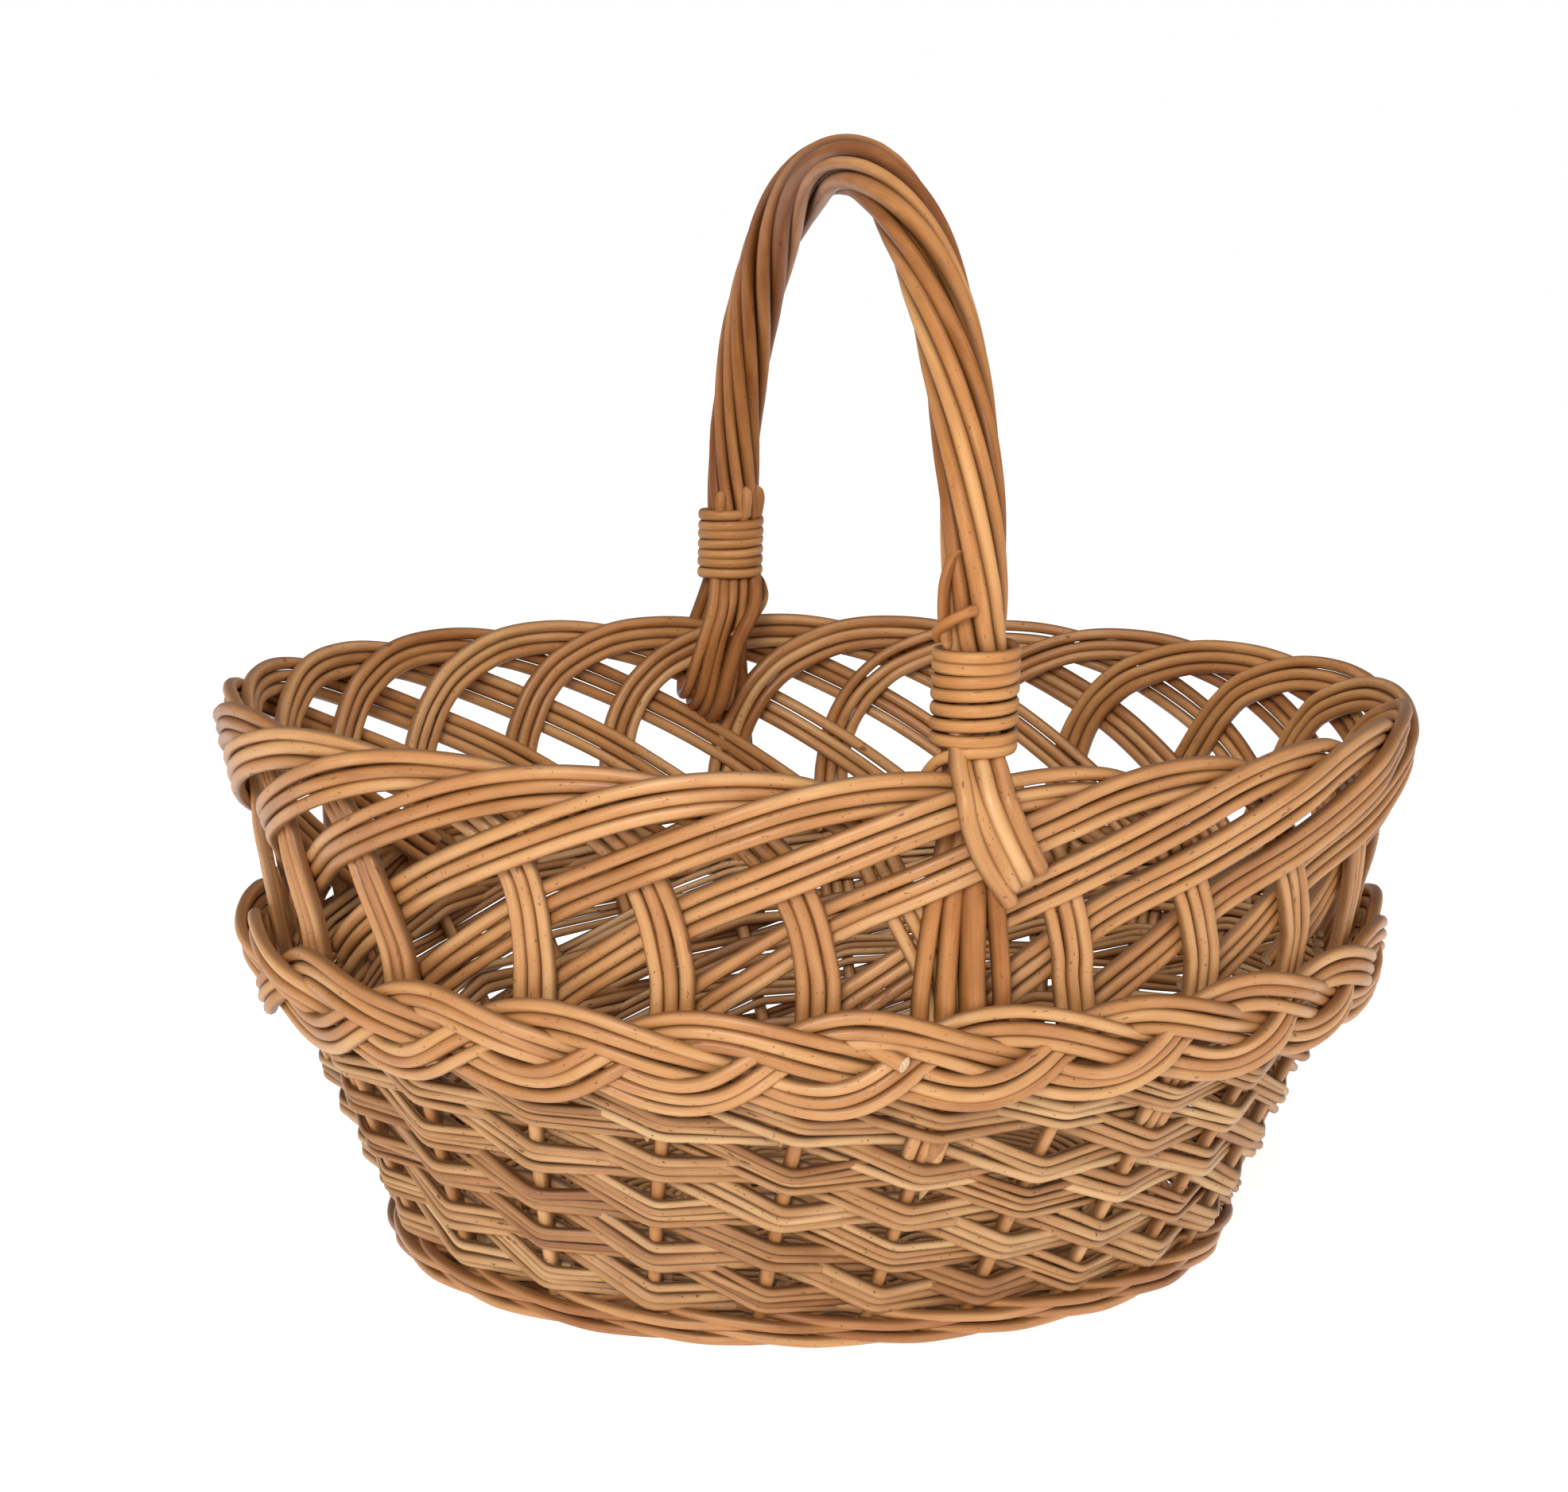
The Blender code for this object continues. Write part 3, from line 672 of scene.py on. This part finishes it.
def makeStake(index):
    # three rods side by side: the middle one is the stake from the floor, the other two
    # start beside it inside the body with slyped tips
    b = border
    route = borderRoute(index)
    knots = len(route) - 1
    steps = b["steps"]
    batches = []
    tone = tones(3, b["rodTones"]) + rng.normal(0, b["bundleTones"])
    tip = b["tips"].get(index, rng.uniform(*b["tipFrom"]))
    dense = spline(route, b["knotSteps"] * knots + 1)
    for lane in (0, -1, 1):
        start = 0.0 if lane == 0 else tip + rng.uniform(-b["tipSpread"], b["tipSpread"])
        fine = np.linspace(start, knots - rng.uniform(0, b["trim"]), steps)
        s, z, d = (np.interp(fine, np.linspace(0, knots, len(dense)), dense[:, c])
                   for c in range(3))
        path, normal = wall(s, z, d)
        across = unit(np.cross(normal, np.gradient(path, axis=0)))
        share = np.clip((fine - b["bodyKnots"]) / (knots - b["bodyKnots"]), 0, 1)
        free = np.clip(share * 6, 0, 1)   # 0 in the body, 1 a little above the plait
        spacing = b["spacing"] * np.interp(share, b["spacingAt"], b["spacingShare"])
        shift = lane * spacing + wander(1, steps, b["shiftSpread"], 4)[0] * free
        lift = wander(1, steps, b["liftSpread"], 5)[0] * free
        path = path + across * shift[:, None] + normal * lift[:, None]
        radius = b["rodRadius"] * rng.uniform(*b["thickness"])
        taper = radius * np.interp(share, b["taperAt"], b["taper"])
        slype = (0, 0) if lane == 0 else (b["slype"], 0)
        batches.append(rods(path[None], normal, taper[None], tone[lane + 1], tip=slype))
    name = f"stake_{index + 1:02d}"
    makePiece(name, batches, "buff_willow", name)


for number in range(stakes):
    makeStake(number)
print("stakes and border made")


# Plaited waist
plait = {
    "strands": 3, "rodsPerStrand": 3, "rodRadius": 0.00232, "spacing": 0.00442,
    "centre": 0.0096, "layer": 0.0025, "swing": 0.0112, "drop": 0.0012, "phase": 0.15,
    "stepsPerPlace": 24, "round": 5.5, "layerRound": 2.2,
    # half the length, in places, over which a strand changes layer low down and high up
    "lowChange": 0.12, "highChange": 0.1,
    "placeSpread": 0.05, "heightSpread": 0.0012, "shiftSpread": 0.0007, "liftSpread": 0.0006,
    "sideDrop": 0.0003,       # how much further in the outer rods of a strand lie
    "thickness": 0.12, "rodTones": 0.6,
    # where the butt of a rod that was joined in ends in view
    "joint": {"strand": 0, "place": 17.55, "height": 0.1090, "out": 0.0158,
              "length": 0.40, "rise": 0.0060, "depth": 0.0105, "rodRadius": 0.0027,
              "tone": 0.3},
}


def makePlaitStrand(index):
    # down over two places as half a cosine, back up over one, out past the others where it
    # lies on top and in where it goes under
    p = plait
    q = np.arange(stakes * p["stepsPerPlace"]) / p["stepsPerPlace"]
    phase = q % 3
    fall, rise = np.cos(pi * phase / 2), -np.cos(pi * (phase - 2))
    wave = soften(np.where(phase < 2, fall, rise)[:, None], p["round"], closed=True)[:, 0]
    z = (plaitBottom + plaitTop) / 2 - p["drop"] + wave * p["swing"]
    low, high = p["lowChange"], p["highChange"]
    places = [2 / 3 - low, 2 / 3 + low, 4 / 3 - low, 4 / 3 + low,
              7 / 3 - high, 7 / 3 + high, 8 / 3 - high, 8 / 3 + high]
    layer = np.interp(phase, places, [1, 1, -1, -1, 1, 1, -1, -1], period=3)
    count = len(q)
    s = q + index + p["phase"] + p["placeSpread"] * wander(1, count, 1.0, 8)[0]
    z = z + wander(1, count, p["heightSpread"], 9)[0]
    centre, normal = wall(s, z, p["centre"] + layer * p["layer"])
    centre = soften(centre, p["layerRound"], closed=True)
    across = unit(np.cross(normal, np.roll(centre, -1, axis=0) - np.roll(centre, 1, axis=0)))
    many = p["rodsPerStrand"]
    lane = (np.arange(many) - (many - 1) / 2)[:, None]
    shift = lane * p["spacing"] + wander(many, count, p["shiftSpread"], 24)
    lift = wander(many, count, p["liftSpread"], 24) - p["sideDrop"] * np.abs(lane)
    paths = centre + across * shift[..., None] + normal * lift[..., None]
    radius = p["rodRadius"] * (1 + 0.5 * wander(many, count, p["thickness"], 6))
    batches = [rods(paths, normal, radius, tones(many, p["rodTones"]), closed=True)]
    if index == p["joint"]["strand"]:
        batches.append(plaitJoint())
    name = f"plait_strand_{index + 1}"
    makePiece(name, batches, "buff_willow", name)


def plaitJoint():
    # a thick cut end that comes down along the strand and turns out from between the others:
    # back goes from 1 at its hidden end to 0 at the cut, and the depth below the cut is
    # 1 - (1 - back) squared
    j = plait["joint"]
    back = 1 - np.linspace(0, 1, 16)
    path, normal = wall(j["place"] - j["length"] * back, j["height"] + j["rise"] * back,
                        j["out"] - j["depth"] * (1 - (1 - back) ** 2))
    return rods(path[None], normal, j["rodRadius"], j["tone"], sides=12)


for number in range(plait["strands"]):
    makePlaitStrand(number)
print("plait made")


# Bow handle
bow = {
    "rods": 9, "radius": 0.0100, "rodRadius": 0.00262, "rodOverlap": 1.06, "flat": 0.92,
    "turns": -1.8, "steps": 260, "lineSteps": 800, "archPoints": 21,
    "legOffset": 0.1425, "legLean": 0.0005,
    "spring": 0.250, "archHalf": 0.1430, "archTilt": 0.003,   # height where the arch begins
    "nearEnd": 0.214, "farEnd": 0.224, "nearShift": 0.0036, "farShift": -0.0016,
    "coreRadius": 0.0052, "coreTone": -0.6,
    "widths": (0.78, 1.25), "turnSpread": 0.16, "thickness": 0.06, "laySpread": 0.0005,
    # tone along the bow from the near foot at 0 to the far foot at 1; darker towards the far
    # foot, painted shade of the far side
    "toneAt": [0, 0.25, 0.5, 1], "tone": [0.3, -0.15, -1.2, -1.4], "rodTones": 0.7,
}


def bowLine(count):
    # legs that lean in a little and a half-ellipse arch over them, near foot to far foot
    b = bow
    top = handleTop - b["radius"]
    turn = np.linspace(0, pi, b["archPoints"])
    arch = np.stack([0 * turn, -b["archHalf"] * np.cos(turn) + b["archTilt"] * np.sin(turn),
                     b["spring"] + (top - b["spring"]) * np.sin(turn)], axis=1)
    leg, lean = b["legOffset"], b["legLean"]
    near = [(0, -leg, b["nearEnd"]), (0, lean - leg, (b["nearEnd"] + b["spring"]) / 2)]
    far = [(0, leg - lean, (b["farEnd"] + b["spring"]) / 2), (0, leg, b["farEnd"])]
    points = np.concatenate([near, arch, far])
    sink = np.clip((top - points[:, 2]) / (top - b["nearEnd"]), 0, 1) ** 2
    points[:, 0] = np.where(points[:, 1] < 0, b["nearShift"], b["farShift"]) * sink
    path = spline(points, b["lineSteps"])
    run = np.concatenate([[0], np.cumsum(np.linalg.norm(np.diff(path, axis=0), axis=1))])
    even = np.linspace(0, run[-1], count)
    return np.stack([np.interp(even, run, path[:, c]) for c in range(3)], axis=1), even


def makeBow():
    # rods laid round a core, each at an angle that turns steadily along the bow
    b = bow
    centre, run = bowLine(b["steps"])
    along = unit(np.gradient(centre, axis=0))
    side = np.tile([1.0, 0, 0], (b["steps"], 1))
    third = np.cross(along, side)
    widths = rng.uniform(*b["widths"], b["rods"])
    widths *= b["rods"] / widths.sum()
    edges = np.cumsum(widths) - widths / 2
    angle = 2 * pi * edges[:, None] / b["rods"] + 2 * pi * b["turns"] * run[None, :] / run[-1]
    angle = angle + wander(b["rods"], b["steps"], b["turnSpread"], 4)
    size = b["rodRadius"] * widths[:, None]
    size = size * (1 + wander(b["rods"], b["steps"], b["thickness"], 5))
    lay = b["radius"] - size * b["flat"] + wander(b["rods"], b["steps"], b["laySpread"], 5)
    out = side * np.cos(angle)[..., None] + third * np.sin(angle)[..., None]
    paths = centre + out * lay[..., None]
    # each rod's random tone plus the painted shade that darkens the bow towards its far foot
    tone = (tones(b["rods"], b["rodTones"])[:, None]
            + np.interp(run / run[-1], b["toneAt"], b["tone"]))
    batch = rods(paths, out, size * b["rodOverlap"], tone, sides=12, flat=b["flat"])
    core = rods(centre[None], side, b["coreRadius"], b["coreTone"], sides=12)
    makePiece("handle_bow", [batch, core] + handleStakes(-1) + handleStakes(1),
              "brown_willow", "handle_bow")


handleFoot = {
    # thick rods of the core behind the border: places from the handle's stake at the plait,
    # radius, and how far below the plait's top the end lies
    "near": [(-0.28, 0.0029, 0.030), (-0.11, 0.0034, 0.050), (0.075, 0.0044, 0.062),
             (0.29, 0.0031, 0.045)],
    "far": [(0.07, 0.0026, 0.040), (-0.06, 0.0032, 0.050), (-0.20, 0.0036, 0.055)],
    "gather": 0.0040, "inside": 0.0030, "steps": 80, "slype": 0.012,
    "tone": -0.2, "toneSpread": 0.5,
}


def handleStakes(side):
    # the ends of the core's rods leave the collar, spread a little inside the rim and run
    # down behind the plait
    f = handleFoot
    near = side < 0
    batches = []
    middle = stakes * (0.75 if near else 0.25)
    shift = bow["nearShift"] if near else bow["farShift"]
    leg = side * (bow["legOffset"] - f["inside"])
    kept = f["near"] if near else f["far"]
    start = bow["nearEnd"] if near else bow["farEnd"]
    for number, (place, radius, depth) in enumerate(kept):
        x = shift + (number - (len(kept) - 1) / 2) * f["gather"]
        z = np.array([plaitTop + 0.85 * (rimTop - plaitTop), (plaitTop + rimTop) / 2 - 0.006,
                      plaitTop, plaitTop - 0.012, plaitTop - depth])
        low, _ = wall(middle + place * np.array([0.35, 0.75, 1.0, 1.0, 1.0]), z,
                      np.array([-0.0080, -0.0012, 0.0008, 0.0004, 0]))
        low[0, 0] = 0.5 * x + 0.5 * low[0, 0]
        top = [[x, leg, start], [x, leg, rimTop + 0.004]]
        path = soften(spline(np.concatenate([top, low]), f["steps"]), 3)
        normal = np.tile([0.0, side, 0.0], (f["steps"], 1))
        tone = rng.normal(f["tone"], f["toneSpread"])
        batches.append(rods(path[None], normal, radius, tone, sides=12, tip=(0, f["slype"])))
    return batches


makeBow()
print("bow made")


# Collars
collars = {
    "rodRadius": 0.00205, "flat": 0.62, "perTurn": 40, "tone": 0.9, "heightSpread": 0.0005,
    "tuckedFrom": 0.4, "tucked": 0.6,   # last part of a turn that goes in, and how far in
    # the extras' steps, tones, tip length and how strong the painted shade in their creases is
    "extraSteps": 40, "extraTones": 0.4, "extraTip": 0.003, "extraCreasePaintedShade": 0.5,
    # room round the bow, how far the winding goes below and above its solid, turns
    "near": {"wall": 0.0026, "below": 0.0008, "taller": 0.0053, "turns": 8,
             "start": pi + 0.6},
    "far": {"wall": 0.0019, "below": 0.0011, "taller": 0.0026, "turns": 7, "start": 0.0},
}


def makeCollar(node, side, place, lead, extras):
    # a binding rod wound round the foot of the bow as a helix, which it enters along the lead,
    # given from the middle of its lower edge; the extras are short rods tucked in beside it,
    # given from the middle of its upper edge
    c = collars
    low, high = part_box(node)
    shift = bow["nearShift"] if side < 0 else bow["farShift"]
    centre = np.array([shift, side * bow["legOffset"], low[2] - place["below"]])
    radius = bow["radius"] + place["wall"]
    turns = place["turns"]
    tall = high[2] - low[2] + place["taller"]
    count = int(turns * c["perTurn"])
    t = np.linspace(0, 1, count)
    angle = 2 * pi * turns * t + place["start"]
    pitch = tall / turns
    z = pitch / 2 + (tall - pitch) * t + wander(1, count, c["heightSpread"], 9)[0]
    radial = np.stack([np.cos(angle), np.sin(angle), np.zeros(count)], axis=1)
    tucked = np.interp(t, [0, 1 - c["tuckedFrom"] / turns, 1], [1, 1, c["tucked"]])
    path = (radius * tucked)[:, None] * radial + z[:, None] * upward
    entry = spline(np.concatenate([np.array(lead), path[:1], path[3:4]]), 30)[:-8]
    path = soften(np.concatenate([entry, path[2:]]), 1.5)
    outwards = unit(path * [1, 1, 0])
    batches = [rods((centre + path)[None], outwards, c["rodRadius"], c["tone"], sides=12,
                    flat=c["flat"])]
    for points, thickness in extras:
        extra = spline(centre + tall * upward + np.array(points), c["extraSteps"])
        outwards = unit((extra - centre) * [1, 1, 0])
        batches.append(rods(extra[None], outwards, thickness, rng.normal(0, c["extraTones"]),
                            tip=(c["extraTip"], c["extraTip"]), creasePaintedShade=c["extraCreasePaintedShade"]))
    makePiece(node, batches, "brown_willow", node)


makeCollar("collar_near", -1, collars["near"], [
    # the first turn comes up from behind the rim on the left
    (-0.0152, 0.0060, -0.0160), (-0.0164, 0.0020, -0.0118), (-0.0160, -0.0016, -0.0070),
    (-0.0142, -0.0045, -0.0026)], [
    # a rod end bulging beside the leg and a short one tucked across it
    ([(-0.0066, -0.0030, 0.0265), (-0.0110, -0.0040, 0.0200), (-0.0126, -0.0045, 0.0120),
      (-0.0119, -0.0045, 0.0020), (-0.0100, -0.0040, -0.0050)], 0.0018),
    ([(-0.0115, 0.0010, -0.0030), (-0.0136, -0.0040, 0.0012), (-0.0112, -0.0092, 0.0050),
      (-0.0068, -0.0110, 0.0075), (-0.0030, -0.0085, 0.0082)], 0.0018),
])
makeCollar("collar_far", 1, collars["far"], [
    (-0.0010, -0.0120, -0.0200), (0.0070, -0.0105, -0.0125), (0.0132, -0.0055, -0.0060),
    (0.0132, -0.0015, -0.0010)], [
    # ends of the bow's rods standing out just above the binding
    ([(0.0084, -0.0040, -0.0060), (0.0096, -0.0045, 0.0030), (0.0080, -0.0036, 0.0080)],
     0.0025),
    ([(0.0030, -0.0084, -0.0060), (0.0036, -0.0096, 0.0030), (0.0036, -0.0074, 0.0075)],
     0.0023),
    ([(-0.0060, -0.0070, -0.0060), (-0.0064, -0.0084, 0.0020), (-0.0056, -0.0062, 0.0060)],
     0.0021),
])
print("collars made")


# Hooked rods
hookRods = {
    "rodRadius": 0.0029, "outside": 0.0098, "bendBelow": 0.0037, "steps": 130,
    # place across at the top and at the end, end's depth below the rim, how late the rod
    # turns aside, and how far it lies in front of its neighbours at the top
    "rods": [(-0.0050, 0.0095, 0.0348, 1.90, 0.0020), (-0.0024, 0.0104, 0.0303, 1.20, -0.0012),
             (0.0028, 0.0143, 0.0276, 1.25, 0.0004), (0.0084, 0.0188, 0.0248, 1.30, -0.0002)],
}


def makeNearHook():
    # the rods leave the collar, cross the rim, slant down its outside, further aside as a
    # power of the way down, and bend in sharply under a border bundle; the points are given
    # for the far side and turned over to the near one
    h = hookRods
    leg = bow["legOffset"]
    shift = bow["nearShift"]
    out = abs(wall(0.75 * stakes, crest, h["outside"])[0][1])
    batches = []
    for x0, x1, depth, late, front in h["rods"]:
        low = rimTop - depth
        start = rimTop - h["bendBelow"]
        down = np.linspace(0, 1, 5)
        slant = np.stack([x0 + (x1 - x0) * down ** late,
                          out + np.array([-0.0026, -0.0004, 0.0, -0.0002, -0.0014])
                          + 0.5 * front * (1 - down), start + (low - start) * down], axis=1)
        over = [[0.75 * x0 + 0.25 * shift, leg + 0.0045, bow["nearEnd"]],
                [0.85 * x0 + 0.15 * shift, leg + 0.0064 + 0.2 * front, rimTop + 0.0088],
                [x0, leg + 0.0116 + front, rimTop + 0.0026]]
        under = [[x1 + 0.0016, out - 0.0056, low - 0.0018],
                 [x1 + 0.0010, out - 0.0120, low + 0.0010]]
        points = np.concatenate([over, slant, under])
        path = soften(spline(points, h["steps"]), 2.0) * [1, -1, 1]
        normal = np.tile([0.0, -1.0, 0.0], (len(path), 1))
        batches.append(rods(path[None], normal, h["rodRadius"], rng.normal(0, 0.5), sides=12))
    makePiece("hook_near", batches, "buff_willow", "hook_near")


farWrap = {
    "outside": 0.0095, "steps": 150,
    # place across at the collar and at the lower end, end's depth below the rim, how far it
    # lies in front of the others, radius and tone
    "rods": [(-0.0078, -0.0180, 0.0255, 0.0004, 0.0023, 0.3),
             (-0.0042, -0.0140, 0.0300, 0.0016, 0.0024, 0.0),
             (-0.0006, -0.0105, 0.0330, 0.0002, 0.0024, -0.4),
             (0.0082, -0.0072, 0.0350, 0.0042, 0.0030, -1.3),
             (0.0036, -0.0020, 0.0310, -0.0010, 0.0021, 0.4)],
}


def makeFarHook():
    # the rods leave the collar on the inside, slant down to the left, the outermost across
    # the others, pass under the rim and come up round its outside to the collar again
    leg = bow["legOffset"]
    out = abs(wall(0.25 * stakes, crest, farWrap["outside"])[0][1])
    batches = []
    for x0, x1, depth, front, radius, tone in farWrap["rods"]:
        low = rimTop - depth
        x0 = x0 + bow["farShift"]
        points = np.array([
            [0.8 * x0, leg - 0.0040, bow["farEnd"]],
            [x0, leg - 0.0074, rimTop + 0.0160],
            [0.85 * x0 + 0.15 * x1, leg - 0.0092 - front, rimTop + 0.0070],
            [0.40 * x0 + 0.60 * x1, leg - 0.0094 - front, rimTop - 0.0060],
            [0.08 * x0 + 0.92 * x1, leg - 0.0070 - 0.5 * front, low + 0.0080],
            [x1, leg - 0.0010, low],
            [x1 + 0.0010, leg + 0.0120, low - 0.0030],
            [x1 + 0.0035, out - 0.0010, low + 0.0070],
            [0.4 * x1 + 0.6 * x0, out, rimTop - 0.0080],
            [0.2 * x1 + 0.8 * x0, leg + 0.0125, rimTop + 0.0040],
            [0.8 * x0, leg + 0.0045, rimTop + 0.0220],
        ])
        path = soften(spline(points, farWrap["steps"]), 2.0)
        radial = (path - np.array([0, leg + 0.006, rimTop - 0.010])) * [0, 1, 1]
        batches.append(rods(path[None], unit(radial), radius, tone, sides=10))
    makePiece("hook_far", batches, "brown_willow", "hook_far")


makeNearHook()
makeFarHook()
print("hooks made")


# Floor, light and camera
studio = {
    "floorSize": 12.0, "floorColour": (0.60, 0.60, 0.60), "floorGlow": 0.81,
    "floorRoughness": 0.9, "world": 0.32, "backdrop": 1.0, "aim": (0, 0, 0.15),
    # name, place, size and power
    "lights": [("key", (-0.75, -1.45, 0.85), 0.55, 17.5),
               ("fill", (1.2, -1.3, 0.6), 1.0, 5.0),
               ("overhead", (-0.3, -0.45, 1.9), 1.2, 13.0)],
}


def makeStudio():
    # a pale floor that glows a little, a white world and three soft lamps aimed at the basket
    bpy.ops.mesh.primitive_plane_add(size=studio["floorSize"], location=(0, 0, 0))
    floor = bpy.context.object
    floor.name = "studio_floor"
    paper, _, shader = newMaterial("studio paper")
    for key, value in (("Base Color", (*studio["floorColour"], 1)),
                       ("Roughness", studio["floorRoughness"]),
                       ("Emission Color", (1, 1, 1, 1)),
                       ("Emission Strength", studio["floorGlow"])):
        shader.inputs[key].default_value = value
    floor.data.materials.append(paper)
    # the world lights softly and shows as a plain white backdrop
    world = bpy.data.worlds.new("studio world")
    world.use_nodes = True
    tree = world.node_tree
    soft = tree.nodes["Background"]
    soft.inputs["Color"].default_value = (1, 1, 1, 1)
    soft.inputs["Strength"].default_value = studio["world"]
    white = tree.nodes.new("ShaderNodeBackground")
    white.inputs["Strength"].default_value = studio["backdrop"]
    white.inputs["Color"].default_value = (1, 1, 1, 1)
    seen = tree.nodes.new("ShaderNodeLightPath")
    pick = tree.nodes.new("ShaderNodeMixShader")
    tree.links.new(seen.outputs["Is Camera Ray"], pick.inputs[0])
    tree.links.new(soft.outputs[0], pick.inputs[1])
    tree.links.new(white.outputs[0], pick.inputs[2])
    tree.links.new(pick.outputs[0], tree.nodes["World Output"].inputs["Surface"])
    bpy.context.scene.world = world
    target = Vector(studio["aim"])
    for name, place, size, power in studio["lights"]:
        light = bpy.data.lights.new(name, "AREA")
        light.size = size
        light.energy = power
        lamp = bpy.data.objects.new(name, light)
        lamp.location = place
        lamp.rotation_euler = (target - Vector(place)).to_track_quat("-Z", "Y").to_euler()
        bpy.context.scene.collection.objects.link(lamp)


cameraView = {
    "azimuth": -16.17, "elevation": 12.34, "roll": 1.754, "distance": 1.0321,
    "target": (0, 0, 0.15), "lens": 67.52, "shiftX": -0.0280, "shiftY": 0.0402,
}


def makeCamera():
    # back from the target by the distance, in the direction of the two angles, then rolled
    v = cameraView
    phi, tilt, roll = np.radians([v["azimuth"], v["elevation"], v["roll"]])
    back = np.array([np.sin(phi) * np.cos(tilt), -np.cos(phi) * np.cos(tilt), np.sin(tilt)])
    right = np.array([np.cos(phi), np.sin(phi), 0])
    up = np.cross(back, right)
    x = right * np.cos(roll) + up * np.sin(roll)
    y = -right * np.sin(roll) + up * np.cos(roll)
    place = np.array(v["target"]) + back * v["distance"]
    data = bpy.data.cameras.new("camera")
    data.lens = v["lens"]
    data.shift_x = v["shiftX"]
    data.shift_y = v["shiftY"]
    camera = bpy.data.objects.new("camera", data)
    columns = np.eye(4)
    columns[:3, 0], columns[:3, 1], columns[:3, 2], columns[:3, 3] = x, y, back, place
    camera.matrix_world = Matrix(columns.tolist())
    bpy.context.scene.collection.objects.link(camera)
    bpy.context.scene.camera = camera


makeStudio()
makeCamera()
bpy.context.scene.view_settings.view_transform = "Standard"
print("studio and camera made")
